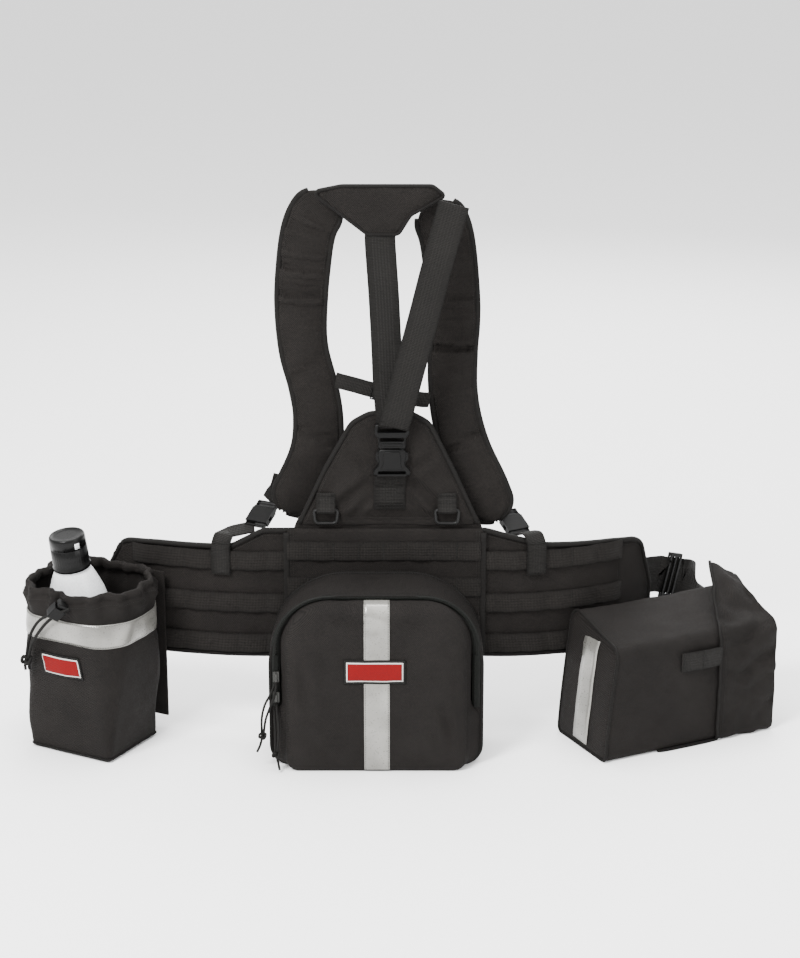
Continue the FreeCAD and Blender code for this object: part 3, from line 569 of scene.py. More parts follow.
def repeated(name: str, kind: Repeat, lines: Sequence[Sequence[Vector]], finish: bpy.types.Material,
             spacing: float, length: float, width: float, height: Optional[float] = None) -> bpy.types.Object:
    """Stitches, teeth or bars set along lines, as one plain mesh.

    Args:
        name: the piece's name.
        kind: what is repeated.
        lines: the paths, in metres.
        finish: the material.
        spacing: distance from one to the next, in metres.
        length: size along the path, in metres.
        width: size across it, in metres.
        height: size off the surface, in metres; the width where left out.

    Returns:
        The mesh of all of them.
    """
    curve = bpy.data.curves.new(name, "CURVE")
    curve.dimensions = "3D"
    curve.twist_mode = "Z_UP"
    for line in lines:
        spline = curve.splines.new("POLY")
        spline.points.add(len(line) - 1)
        for point, place in zip(spline.points, line):
            point.co = (*place, 1)
    obj = bpy.data.objects.new(name, curve)
    bpy.context.scene.collection.objects.link(obj)
    tree = repeat_tree(kind)
    modifier = obj.modifiers.new("repeat", "NODES")
    modifier.node_group = tree
    values = {"Spacing": spacing, "Length": length, "Width": width,
              "Height": width if height is None else height, "Finish": finish}
    for item in tree.interface.items_tree:
        if item.in_out == "INPUT" and item.name in values:
            modifier[item.identifier] = values[item.name]
    plain = baked(obj)
    plain.data.polygons.foreach_set("use_smooth", [kind is not Repeat.TOOTH] * len(plain.data.polygons))
    return plain


# ------------------------------------------------------------------ finishes
class Shader:
    """Short calls for building one node tree."""

    def __init__(self, tree: bpy.types.NodeTree) -> None:
        """Keeps the tree whose nodes are made."""
        self.tree = tree

    def add(self, kind: str, **settings: object) -> bpy.types.Node:
        """Makes a node of a kind, with its properties set."""
        node = self.tree.nodes.new(kind)
        for key, value in settings.items():
            setattr(node, key, value)
        return node

    def link(self, source: object, target: object) -> None:
        """Joins an output to an input."""
        self.tree.links.new(source, target)

    def math(self, operation: str, first: object, second: object = None) -> bpy.types.NodeSocket:
        """A math node; each input is an output socket or a number."""
        node = self.add("ShaderNodeMath", operation=operation)
        for index, value in enumerate((first, second)):
            if value is None:
                continue
            if isinstance(value, (int, float)):
                node.inputs[index].default_value = value
            else:
                self.link(value, node.inputs[index])
        return node.outputs[0]


def shader_group(name: str, inputs: Sequence[tuple[str, str, object]], outputs: Sequence[str]
                 ) -> tuple[bpy.types.NodeTree, Shader, bpy.types.Node, bpy.types.Node]:
    """Starts a shader node group.

    Args:
        name: the group's name.
        inputs: (name, socket type, default) of each input.
        outputs: names of the value outputs.

    Returns:
        The tree, its builder, and its input and output nodes.
    """
    tree = bpy.data.node_groups.new(name, "ShaderNodeTree")
    for label, kind, value in inputs:
        socket = tree.interface.new_socket(label, in_out="INPUT", socket_type=kind)
        if value is not None:
            socket.default_value = value
    for label in outputs:
        tree.interface.new_socket(label, in_out="OUTPUT", socket_type="NodeSocketFloat")
    build = Shader(tree)
    return tree, build, build.add("NodeGroupInput"), build.add("NodeGroupOutput")


def weave_group() -> bpy.types.NodeTree:
    """Plain weave: over-and-under yarns on any face, with uneven yarn thickness."""
    if "Weave" in bpy.data.node_groups:
        return bpy.data.node_groups["Weave"]
    tree, build, source, sink = shader_group(
        "Weave", [("Vector", "NodeSocketVector", None), ("Yarns per metre", "NodeSocketFloat", 900.0)],
        ["Height", "Shade"])
    parts = build.add("ShaderNodeSeparateXYZ")
    build.link(source.outputs["Vector"], parts.inputs[0])
    turns = build.math("MULTIPLY", source.outputs["Yarns per metre"], math.pi)
    level = build.math("ADD", parts.outputs["X"], parts.outputs["Y"])
    warp = build.math("SINE", build.math("MULTIPLY", level, turns))
    rise = build.math("ADD", parts.outputs["Z"], build.math("MULTIPLY", parts.outputs["Y"], 0.35))
    weft = build.math("SINE", build.math("MULTIPLY", rise, turns))
    crossing = build.math("MULTIPLY", warp, weft)
    uneven = build.add("ShaderNodeTexNoise")
    build.link(source.outputs["Vector"], uneven.inputs["Vector"])
    uneven.inputs["Scale"].default_value = 620.0
    uneven.inputs["Detail"].default_value = 3.0
    height = build.math("ADD", build.math("MULTIPLY", crossing, 0.5), uneven.outputs["Fac"])
    build.link(height, sink.inputs["Height"])
    build.link(build.math("MULTIPLY_ADD", crossing, 0.5), sink.inputs["Shade"])
    sink.inputs["Shade"].links[0].from_node.inputs[2].default_value = 0.5
    return tree


def mottle_group() -> bpy.types.NodeTree:
    """Slow and fast unevenness of a dyed or worn surface, both about 0 to 1."""
    if "Mottle" in bpy.data.node_groups:
        return bpy.data.node_groups["Mottle"]
    tree, build, source, sink = shader_group(
        "Mottle", [("Vector", "NodeSocketVector", None), ("Patches per metre", "NodeSocketFloat", 18.0)],
        ["Patches", "Specks"])
    for label, factor, detail in (("Patches", 1.0, 4.0), ("Specks", 24.0, 4.0)):
        cloud = build.add("ShaderNodeTexNoise")
        build.link(source.outputs["Vector"], cloud.inputs["Vector"])
        build.link(build.math("MULTIPLY", source.outputs["Patches per metre"], factor), cloud.inputs["Scale"])
        cloud.inputs["Detail"].default_value = detail
        spread = build.add("ShaderNodeMapRange")
        spread.inputs["From Min"].default_value = 0.32
        spread.inputs["From Max"].default_value = 0.68
        build.link(cloud.outputs["Fac"], spread.inputs["Value"])
        build.link(spread.outputs["Result"], sink.inputs[label])
    return tree


def rib_group() -> bpy.types.NodeTree:
    """Webbing: cross ribs along V and fine yarn lines along U, from the band's own UV map."""
    if "Ribs" in bpy.data.node_groups:
        return bpy.data.node_groups["Ribs"]
    tree, build, source, sink = shader_group(
        "Ribs", [("UV", "NodeSocketVector", None), ("Ribs per metre", "NodeSocketFloat", 520.0),
                 ("Yarns per metre", "NodeSocketFloat", 900.0)],
        ["Height", "Shade"])
    parts = build.add("ShaderNodeSeparateXYZ")
    build.link(source.outputs["UV"], parts.inputs[0])
    along = build.math("MULTIPLY", parts.outputs["Y"], build.math("MULTIPLY", source.outputs["Ribs per metre"], math.tau))
    around = build.math("MULTIPLY", parts.outputs["X"],
                        build.math("MULTIPLY", source.outputs["Yarns per metre"], math.tau))
    ribs = build.math("SINE", along)
    yarns = build.math("SINE", around)
    height = build.math("ADD", build.math("MULTIPLY", ribs, 0.6), build.math("MULTIPLY", yarns, 0.3))
    build.link(height, sink.inputs["Height"])
    shade = build.add("ShaderNodeMapRange")
    shade.inputs["From Min"].default_value = -0.9
    shade.inputs["From Max"].default_value = 0.9
    build.link(height, shade.inputs["Value"])
    build.link(shade.outputs["Result"], sink.inputs["Shade"])
    return tree


class Surface(Enum):
    """How a finish gets its small relief."""
    CLOTH = "cloth"
    WEBBING = "webbing"
    MOULDED = "moulded"
    TAPE = "tape"
    CORD = "cord"


# shares of slow patches, yarns and specks in a surface's tone
TONE_SHARES = {Surface.CLOTH: (0.14, 0.56, 0.30), Surface.WEBBING: (0.12, 0.60, 0.28),
               Surface.MOULDED: (0.40, 0.30, 0.30), Surface.TAPE: (0.90, 0.05, 0.05),
               Surface.CORD: (0.20, 0.50, 0.30)}


@dataclass(frozen=True)
class Finish:
    """One material: its base look, its relief and a slot name."""
    name: str
    slot: str
    surface: Surface
    dark: tuple[float, float, float]
    light: tuple[float, float, float]
    roughness: tuple[float, float]
    relief: float
    metallic: float = 0.0
    sheen: float = 0.0
    coat: float = 0.0
    specular: float = 0.5
    alpha: float = 1.0
    transmission: float = 0.0

    def material(self) -> bpy.types.Material:
        """Returns the material, built on first use."""
        if self.name in bpy.data.materials:
            return bpy.data.materials[self.name]
        material = bpy.data.materials.new(self.name)
        material.use_nodes = True
        tree = material.node_tree
        tree.nodes.clear()
        build = Shader(tree)
        output = build.add("ShaderNodeOutputMaterial")
        surface = build.add("ShaderNodeBsdfPrincipled")
        build.link(surface.outputs[0], output.inputs["Surface"])
        surface.inputs["Metallic"].default_value = self.metallic
        surface.inputs["Sheen Weight"].default_value = self.sheen
        surface.inputs["Sheen Roughness"].default_value = 0.5
        surface.inputs["Coat Weight"].default_value = self.coat
        surface.inputs["Coat Roughness"].default_value = 0.25
        surface.inputs["Specular IOR Level"].default_value = self.specular
        surface.inputs["Transmission Weight"].default_value = self.transmission
        place = build.add("ShaderNodeTexCoord")
        mottle = build.add("ShaderNodeGroup", node_tree=mottle_group())
        build.link(place.outputs["Object"], mottle.inputs["Vector"])
        height, shade = self._relief(build, place, mottle)
        patches, yarns, specks = TONE_SHARES[self.surface]
        grain = build.math("ADD", build.math("MULTIPLY", shade, yarns),
                           build.math("MULTIPLY", mottle.outputs["Specks"], specks))
        tone = build.math("ADD", build.math("MULTIPLY", mottle.outputs["Patches"], patches), grain)
        colour = build.add("ShaderNodeMix", data_type="RGBA")
        colour.inputs[6].default_value = (*self.dark, 1)
        colour.inputs[7].default_value = (*self.light, 1)
        build.link(tone, colour.inputs[0])
        build.link(colour.outputs[2], surface.inputs["Base Color"])
        rough = build.add("ShaderNodeMapRange")
        rough.inputs["To Min"].default_value = self.roughness[0]
        rough.inputs["To Max"].default_value = self.roughness[1]
        build.link(mottle.outputs["Specks"], rough.inputs["Value"])
        build.link(rough.outputs["Result"], surface.inputs["Roughness"])
        bump = build.add("ShaderNodeBump")
        bump.inputs["Strength"].default_value = 0.9
        bump.inputs["Distance"].default_value = self.relief
        build.link(height, bump.inputs["Height"])
        build.link(bump.outputs["Normal"], surface.inputs["Normal"])
        return material

    def _relief(self, build: Shader, place: bpy.types.Node, mottle: bpy.types.Node
                ) -> tuple[bpy.types.NodeSocket, bpy.types.NodeSocket]:
        """Returns the height and the shade outputs of the finish's relief."""
        if self.surface in (Surface.WEBBING, Surface.CORD):
            ribs = build.add("ShaderNodeGroup", node_tree=rib_group())
            build.link(place.outputs["UV"], ribs.inputs["UV"])
            if self.surface is Surface.CORD:
                ribs.inputs["Ribs per metre"].default_value = 700.0
            return ribs.outputs["Height"], ribs.outputs["Shade"]
        if self.surface is Surface.CLOTH:
            weave = build.add("ShaderNodeGroup", node_tree=weave_group())
            build.link(place.outputs["Object"], weave.inputs["Vector"])
            return weave.outputs["Height"], weave.outputs["Shade"]
        return mottle.outputs["Specks"], mottle.outputs["Specks"]


PAD_CLOTH = Finish("pad_cloth", "pad_fabric", Surface.CLOTH, (0.0004, 0.0004, 0.0004), (0.0195, 0.0172, 0.0158),
                   (0.70, 0.92), 0.0008, specular=0.07)
POUCH_CLOTH = Finish("pouch_cloth", "pouch_fabric", Surface.CLOTH, (0.0004, 0.0004, 0.0004), (0.0178, 0.0156, 0.0144),
                     (0.66, 0.90), 0.0008, specular=0.08)
BINDING = Finish("binding_tape", "webbing", Surface.WEBBING, (0.0020, 0.0018, 0.0016), (0.0085, 0.0077, 0.0071),
                 (0.62, 0.85), 0.00018, specular=0.10)
WEBBING = Finish("webbing_tape", "webbing", Surface.WEBBING, (0.0022, 0.0020, 0.0018), (0.0140, 0.0130, 0.0120),
                 (0.55, 0.80), 0.0005, specular=0.10)
ROW_WEBBING = Finish("row_webbing", "webbing", Surface.WEBBING, (0.0020, 0.0018, 0.0016), (0.0200, 0.0180, 0.0166),
                     (0.60, 0.85), 0.0005, specular=0.07)
SILVER = Finish("silver_tape", "reflective", Surface.TAPE, (0.13, 0.127, 0.116), (0.27, 0.264, 0.244),
                (0.26, 0.38), 0.00003, metallic=0.45, coat=0.2)
RED_LABEL = Finish("label_red", "label", Surface.CLOTH, (0.085, 0.0008, 0.0014), (0.15, 0.0018, 0.0026), (0.5, 0.7), 0.0001, specular=0.1)
WHITE_LABEL = Finish("label_white", "label", Surface.CLOTH, (0.36, 0.35, 0.33), (0.50, 0.49, 0.47), (0.5, 0.7), 0.0001, specular=0.15)
LABEL_PATCH = Finish("label_patch", "label", Surface.CLOTH, (0.0020, 0.0020, 0.0018), (0.0060, 0.0060, 0.0056),
                     (0.6, 0.8), 0.0001, specular=0.08)
ZIP_TAPE = Finish("zip_band_weave", "zip_tape", Surface.WEBBING, (0.0018, 0.0020, 0.0017), (0.0058, 0.0064, 0.0054),
                  (0.55, 0.75), 0.00012, specular=0.12)
ZIP_COIL = Finish("zip_coil", "zip_tape", Surface.MOULDED, (0.0022, 0.0025, 0.0021), (0.0070, 0.0078, 0.0066),
                  (0.45, 0.60), 0.00004, specular=0.10)
ACETAL = Finish("buckle_acetal", "buckle_plastic", Surface.MOULDED, (0.0014, 0.0014, 0.0014), (0.0036, 0.0035, 0.0034),
                (0.34, 0.48), 0.00003, specular=0.11)
RING_METAL = Finish("ring_coating", "ring_metal", Surface.MOULDED, (0.0030, 0.0030, 0.0030), (0.0070, 0.0070, 0.0068),
                    (0.32, 0.46), 0.00003, specular=0.16)
SLIDER_METAL = Finish("slider_casting", "slider_metal", Surface.MOULDED, (0.010, 0.010, 0.009), (0.030, 0.030, 0.027),
                      (0.30, 0.45), 0.00003, metallic=0.5)
BOTTLE_PLASTIC = Finish("bottle_plastic", "bottle_white", Surface.MOULDED, (0.58, 0.59, 0.60), (0.66, 0.67, 0.675),
                        (0.22, 0.32), 0.00001, coat=0.3)
CAP_PLASTIC = Finish("cap_plastic", "cap_black", Surface.MOULDED, (0.0012, 0.0012, 0.0012), (0.0024, 0.0024, 0.0023),
                     (0.26, 0.36), 0.00001, specular=0.14)
CORD_BRAID = Finish("cord_braid", "cord", Surface.CLOTH, (0.0018, 0.0018, 0.0016), (0.0110, 0.0105, 0.0098),
                    (0.6, 0.8), 0.0004, specular=0.1)
THREAD = Finish("black_thread", "webbing", Surface.MOULDED, (0.0050, 0.0048, 0.0044), (0.016, 0.0154, 0.0144),
                (0.5, 0.7), 0.00002, specular=0.1)
GREY_THREAD = Finish("grey_thread", "reflective", Surface.MOULDED, (0.012, 0.012, 0.011), (0.030, 0.030, 0.028),
                     (0.5, 0.7), 0.00002, specular=0.2)


def dress(obj: bpy.types.Object, finish: Finish) -> bpy.types.Object:
    """Gives the whole piece one finish."""
    obj.data.materials.clear()
    obj.data.materials.append(finish.material())
    return obj


def settle(obj: bpy.types.Object, body: str, replaces: Sequence[str] = ()) -> bpy.types.Object:
    """Hangs the piece on its body's empty and hides the CAD nodes it stands for."""
    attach(obj, body)
    if replaces:
        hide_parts(*replaces)
    LOG.info("piece %s on %s, %d faces", obj.name, body,
             len(obj.data.polygons) if obj.type == "MESH" else 0)
    return obj


def straps(name: str, body: str, centres: Sequence[Point], across: Vector | Sequence[Vector], width: float,
           thickness: float = 1.8, replaces: Sequence[str] = (), finish: Finish = WEBBING,
           steps: int = 8) -> bpy.types.Object:
    """A webbing band through belt points, all sizes in mm, finished and settled on its body."""
    path = curve_through([at(*p) for p in centres], steps)
    wide: Vector | list[Vector] = across if isinstance(across, Vector) else []
    if not isinstance(across, Vector):
        wide = curve_through(list(across), steps)
    obj = sweep(name, path, wide, width * MM, thickness * MM)
    dress(obj, finish)
    return settle(obj, body, replaces)


def stitches(name: str, body: str, lines: Sequence[Sequence[Vector]], finish: Finish = THREAD,
             spacing: float = 3.2) -> bpy.types.Object:
    """Lockstitch seams along lines."""
    obj = repeated(name, Repeat.STITCH, lines, finish.material(), spacing * MM, spacing * 0.72 * MM, 0.7 * MM)
    return settle(obj, body)


def bar_tacks(name: str, body: str, lines: Sequence[Sequence[Vector]]) -> bpy.types.Object:
    """Dense bar tacks along short lines."""
    obj = repeated(name, Repeat.BAR, lines, THREAD.material(), 0.9 * MM, 0.7 * MM, 2.2 * MM, 0.9 * MM)
    return settle(obj, body)


# ------------------------------------------------------------------ belt
SIDES = ("left", "right")
SIGN = {"left": -1.0, "right": 1.0}
BEND = {"left": 413.0, "right": 300.0}
MID_X = -3.0
FLAT_HALF = 120.0
FACE_Y = 4.2
BUCKLE_EDGE = 0.0006


def wing_place(side: str, point: Vector) -> tuple[float, float]:
    """Distance along a wing and outward offset, in mm, of a row-frame point."""
    x, y = point.x / MM - ORIGIN.x, point.y / MM - ORIGIN.y
    run = (x - MID_X) * SIGN[side]
    if run <= FLAT_HALF:
        return run - FLAT_HALF, FACE_Y - y
    radius = BEND[side]
    u, v = run - FLAT_HALF, FACE_Y + radius - y
    return math.atan2(u, v) * radius, math.hypot(u, v) - radius


def wing_at(side: str, s: float, offset: float, z: float) -> Vector:
    """Row-frame point at distance s along a wing, offset outwards, at height z; all mm."""
    sign, radius = SIGN[side], BEND[side]
    if s <= 0:
        return at(MID_X + sign * (FLAT_HALF + s), FACE_Y - offset, z)
    angle = s / radius
    return at(MID_X + sign * (FLAT_HALF + (radius + offset) * math.sin(angle)),
              FACE_Y + radius - (radius + offset) * math.cos(angle), z)


def wing_out(side: str, s: float) -> Vector:
    """Outward direction of a wing's face at distance s."""
    angle = max(s, 0.0) / BEND[side]
    return Vector((SIGN[side] * math.sin(angle), -math.cos(angle), 0))


def edge_distance(outline: Sequence[tuple[float, float]], u: float, v: float) -> float:
    """Distance from (u, v) to a closed outline."""
    best = 1e9
    for index, (u0, v0) in enumerate(outline):
        u1, v1 = outline[index - 1]
        du, dv = u1 - u0, v1 - v0
        share = min(max(((u - u0) * du + (v - v0) * dv) / (du * du + dv * dv + 1e-9), 0.0), 1.0)
        best = min(best, math.hypot(u - u0 - du * share, v - v0 - dv * share))
    return best


def front_of(point: Vector) -> tuple[float, float]:
    """(x, z) of a row-frame point in belt millimetres."""
    return point.x / MM - ORIGIN.x, point.z / MM


@dataclass
class HipWings:
    """The two padded wings with binding, webbing rows and bar tacks."""
    thickness: float = 14.0
    rows: tuple[float, ...] = (222.0, 166.0, 111.0)
    row_height: float = 25.4
    row_drop: float = 4.0
    row_ends: tuple[float, float] = (214.0, 200.0)
    left_tacks: tuple[float, ...] = (6.0, 29.0, 66.0, 101.0, 138.0, 176.0, 212.0)
    right_tacks: tuple[float, ...] = (6.0, 22.0, 54.0, 88.0, 122.0, 159.0, 198.0)
    bulge: float = 2.6

    def outline(self, side: str) -> list[tuple[float, float]]:
        """The wing's outline from the front, in mm."""
        corners = {
            "left": [(-3.15, 111, .5), (-3.15, 279.5, .5), (-158, 277.5, 30), (-200, 254, 30), (-295, 250, 60),
                     (-345, 245, 22), (-372, 190, 40), (-368, 96, 25), (-240, 103, 100)],
            "right": [(-2.85, 111, .5), (-2.85, 279.5, .5), (125, 278, 30), (200, 255, 60), (290, 246, 60),
                      (333, 238, 22), (349, 170, 40), (346, 92, 22), (217, 103, 100)]}[side]
        return rounded_outline(corners)

    def pad(self, side: str) -> bpy.types.Object:
        """The foam wing, quilted along its row seams and pinched to its bound edge."""
        outline = self.outline(side)
        obj = node_copy("hip_pad_" + side, "padding_" + side)
        even = obj.modifiers.new("even", "REMESH")
        even.mode = "VOXEL"
        even.voxel_size = 0.0055
        obj = baked(obj)

        def pinch(point: Vector, normal: Vector) -> Vector:
            s, offset = wing_place(side, point)
            depth = 1 - smoothstep(0, 17, edge_distance(outline, *front_of(point)))
            goal = -3.2 + (offset + 3.2) * (1 - 0.55 * depth)
            inner = smoothstep(-2, -13, offset)
            ridges = 1.5 * inner * (0.5 + 0.5 * math.cos(math.tau * (point.z / MM - 96) / 52)) ** 3
            return wing_out(side, s) * (goal - offset + ridges) * MM

        moved_points(obj, pinch)
        obj = puffed(obj, 0.0055, 0.0016, held=lambda p: 1 - smoothstep(6, 20, edge_distance(outline, *front_of(p))))

        def settle_cloth(point: Vector, normal: Vector) -> Vector:
            wave = crumple(point, 0.055, 0.9, 3.1 if side == "left" else 8.4)
            return normal * wave * MM

        moved_points(obj, settle_cloth)
        dress(obj, PAD_CLOTH)
        obj.name = "wing_pad_" + side
        return settle(obj, "belt", ["hip_pad_" + side])

    def binding(self, side: str) -> bpy.types.Object:
        """Folded tape round the wing's edge."""
        line, inward = [], []
        outline = self.outline(side)
        path = resample([Vector((u, 0, v)) for u, v in outline], 5.0, closed=True)
        middle = Vector((SIGN[side] * 180, 0, 185))
        kept = [p for p in path if abs(p.x + 3) > 100]
        start = max(range(len(kept)), key=lambda i: (kept[i] - kept[i - 1]).length)
        kept = kept[start:] + kept[:start]
        for index, point in enumerate(kept):
            before, after = kept[max(index - 1, 0)], kept[min(index + 1, len(kept) - 1)]
            heading = (after - before).normalized()
            normal = Vector((heading.z, 0, -heading.x))
            if normal.dot(middle - point) < 0:
                normal = -normal
            s = self.run_at(side, point.x)
            shifted = point + normal * 2.6
            s = self.run_at(side, shifted.x)
            line.append(wing_at(side, s, -3.4, shifted.z))
            tangent = Vector((-SIGN[side] * wing_out(side, s).y, SIGN[side] * wing_out(side, s).x, 0))
            inward.append((tangent * normal.x * SIGN[side] + UP * normal.z).normalized()
                          if side == "right" else (-tangent * normal.x * SIGN[side] + UP * normal.z).normalized())
        obj = sweep("wing_binding_" + side, line, inward, 7.0 * MM, 8.2 * MM, squareness=2.4)
        dress(obj, BINDING)
        return settle(obj, "belt")

    @staticmethod
    def run_at(side: str, x: float) -> float:
        """Distance along the wing of the face point at x."""
        run = (x - MID_X) * SIGN[side] - FLAT_HALF
        return run if run <= 0 else math.asin(min(run / BEND[side], 1.0)) * BEND[side]

    def row(self, side: str, number: int) -> bpy.types.Object:
        """One webbing row, lifted a little between its tacks."""
        bottom = self.rows[number]
        end = self.row_ends[SIDES.index(side)]
        tacks = self.left_tacks if side == "left" else self.right_tacks
        path = []
        steps = int((end - 2) / 3)
        for index in range(steps + 1):
            s = 2 + (end - 2) * index / steps
            lift = 0.0
            for a, b in zip(tacks, tacks[1:]):
                if a < s < b:
                    lift = self.bulge * math.sin(math.pi * (s - a) / (b - a)) ** 0.7
                    lift *= 0.75 + 0.5 * (noise.noise(Vector((a, bottom, 3.0))) + 0.5)
            z = bottom + 2 + self.row_height / 2 - (self.row_drop + 2) * max(s, 0) / 214
            z += 0.5 * noise.noise(Vector((s / 40, bottom, 0.5)))
            path.append(wing_at(side, s, 1.0 + lift, z))
        obj = sweep(f"wing_row_{side}_{number + 1}", path, UP, self.row_height * MM, 1.7 * MM)
        dress(obj, ROW_WEBBING)
        names = ["webbing_rows_wings"] if side == "left" and number == 0 else []
        return settle(obj, "belt", names)

    def tacks(self, side: str) -> bpy.types.Object:
        """Bar tacks that divide the rows into loops."""
        tacks = self.left_tacks if side == "left" else self.right_tacks
        lines = []
        for bottom in self.rows:
            for s in tacks[1:-1]:
                z = bottom + 2 - (self.row_drop + 2) * s / 214
                lines.append([wing_at(side, s, 1.9, z + 1.5), wing_at(side, s, 1.9, z + self.row_height - 1.5)])
        return bar_tacks("wing_tacks_" + side, "belt", lines)

    def seams(self, side: str) -> bpy.types.Object:
        """Stitch lines beside the binding and the outer end of the rows."""
        outline = self.outline(side)
        lines = []
        path = [p for p in resample([Vector((u, 0, v)) for u, v in outline], 4.0, closed=True) if abs(p.x + 3) > 118]
        start = max(range(len(path)), key=lambda i: (path[i] - path[i - 1]).length)
        path = path[start:] + path[:start]
        centre = Vector((SIGN[side] * 180, 0, 180))
        edge = []
        for index, point in enumerate(path):
            heading = (path[min(index + 1, len(path) - 1)] - path[max(index - 1, 0)]).normalized()
            normal = Vector((heading.z, 0, -heading.x))
            if normal.dot(centre - point) < 0:
                normal = -normal
            shifted = point + normal * 8.0
            edge.append(wing_at(side, self.run_at(side, shifted.x), 0.6, shifted.z))
        lines.append(edge)
        for s in ((207.0, 211.0) if side == "left" else (194.0, 198.0)):
            lines.append([wing_at(side, s, 0.7, 108), wing_at(side, s, 0.7, 246)])
        return stitches("wing_seams_" + side, "belt", lines)

    def build(self) -> None:
        """Makes both wings."""
        for side in SIDES:
            self.pad(side)
            self.binding(side)
            self.tacks(side)
            self.seams(side)
            for number in range(len(self.rows)):
                self.row(side, number)


@dataclass
class LumbarPanel:
    """The flat middle panel with its three rows, over the wings' meeting edges."""
    half: float = 124.5
    bottom: float = 111.0
    top: float = 279.5
    rows: tuple[float, ...] = (238.0, 190.0, 140.0)
    columns: tuple[float, ...] = (-122.0, -100.0, -68.0, -36.0, -5.0, 27.0, 57.0, 88.0, 116.0)
    row_height: float = 25.4

    def panel(self) -> bpy.types.Object:
        """The cloth panel, softly puffed, with a rolled edge."""
        obj = node_copy("lumbar_panel", "lumbar_cloth")
        even = obj.modifiers.new("even", "REMESH")
        even.mode = "VOXEL"
        even.voxel_size = 0.0022
        relax = obj.modifiers.new("relax", "SMOOTH")
        relax.iterations = 4
        obj = baked(obj)

        def soften(point: Vector, normal: Vector) -> Vector:
            u, v = front_of(point)
            edge = min(self.half - abs(u - MID_X), v - self.bottom, self.top - v)
            lift = crumple(point, 0.045, 0.7, 5.0) * smoothstep(0, 12, edge)
            return FRONT * (lift + 0.5 * smoothstep(0, 10, edge)) * MM if normal.y < 0 else Vector()

        moved_points(obj, soften)
        dress(obj, PAD_CLOTH)
        obj.name = "lumbar_cover"
        return settle(obj, "belt", ["lumbar_panel"])

    def build(self) -> None:
        """Makes the panel, its rows, tacks and edge seams."""
        self.panel()
        tack_lines = []
        for number, bottom in enumerate(self.rows):
            path = []
            x = MID_X - self.half + 1
            while x <= MID_X + self.half - 1:
                lift = 0.0
                for a, b in zip(self.columns, self.columns[1:]):
                    if a < x < b:
                        lift = 1.5 * math.sin(math.pi * (x - a) / (b - a)) ** 0.7
                        open_loop = number == 0 and a in (-100.0, 27.0)
                        lift *= 1.6 if open_loop else 0.7
                path.append(at(x, -1.0 - lift, bottom + self.row_height / 2 + 0.4 * math.sin(x / 23)))
                x += 2.5
            row = sweep(f"lumbar_row_{number + 1}", path, UP, self.row_height * MM, 1.7 * MM)
            dress(row, ROW_WEBBING)
            settle(row, "belt", ["webbing_rows_center"] if number == 0 else [])
            for x in self.columns[1:-1]:
                tack_lines.append([at(x, -2.2, bottom + 1.5), at(x, -2.2, bottom + self.row_height - 1.5)])
        bar_tacks("lumbar_tacks", "belt", tack_lines)
        edges = []
        for side in (-1, 1):
            x = MID_X + side * (self.half - 0.5)
            path = [at(x, 0.6, z) for z in range(112, 279, 6)]
            edge = sweep(f"lumbar_edge_{'left' if side < 0 else 'right'}", path, RIGHT, 8 * MM, 3.4 * MM, squareness=3)
            dress(edge, BINDING)
            settle(edge, "belt")
            for inset in (5.5, 9.0):
                edges.append([at(MID_X + side * (self.half - inset), -2.1, 114), at(MID_X + side * (self.half - inset), -2.1, 277)])
        stitches("lumbar_seams", "belt", edges)


@dataclass
class WaistStrap:
    """The loose 50 mm waist webbing with its slider and side release buckle."""
    width: float = 50.0
    left: tuple[Point, ...] = ((-316, 70, 170), (-322, 74.5, 170), (-350, 92, 169), (-376, 111, 162),
                               (-397, 127, 142), (-407, 137, 112), (-410, 141, 84))
    left_across: tuple[Point, ...] = ((0, 0, 1), (0, 0, 1), (0, 0, 1), (.2, .2, 1), (.6, .5, .6), (.8, .6, .2),
                                      (.8, .6, 0))
    right: tuple[Point, ...] = ((293, 76, 172), (299, 83.5, 172), (330, 115, 175), (358, 139, 171),
                                (364, 143.5, 168.75), (392, 164.5, 158.25), (400, 169, 156), (420, 181, 140),
                                (432, 189, 106), (433, 192, 76))
    right_across: tuple[Point, ...] = ((0, 0, 1), (0, 0, 1), (0, 0, 1), (0, 0, 1), (0, 0, 1), (0, 0, 1), (0, 0, 1),
                                       (-.6, .2, .7), (-.9, .4, .1), (-.9, .4, 0))

    def build(self) -> None:
        """Makes both straps and the plastic parts."""
        for side, centres, across in (("left", self.left, self.left_across), ("right", self.right, self.right_across)):
            wide = [direction(*a) for a in across]
            straps("waist_webbing_" + side, "belt", centres, wide, self.width, 1.9, ["waist_strap_" + side])
        for node, body in (("waist_socket", "belt"), ("waist_plug", "belt"), ("waist_prong_front", "waist_prong_front"),
                           ("waist_prong_rear", "waist_prong_rear"), ("waist_slider", "waist_slider")):
            moulded(node, body)


def moulded(node: str, body: str, finish: Finish = ACETAL, radius: float = BUCKLE_EDGE) -> bpy.types.Object:
    """A CAD part's shape with rounded moulding edges and its finish."""
    obj = moulded_copy(node, node + "_shape", radius)
    dress(obj, finish)
    return settle(obj, body, [node])


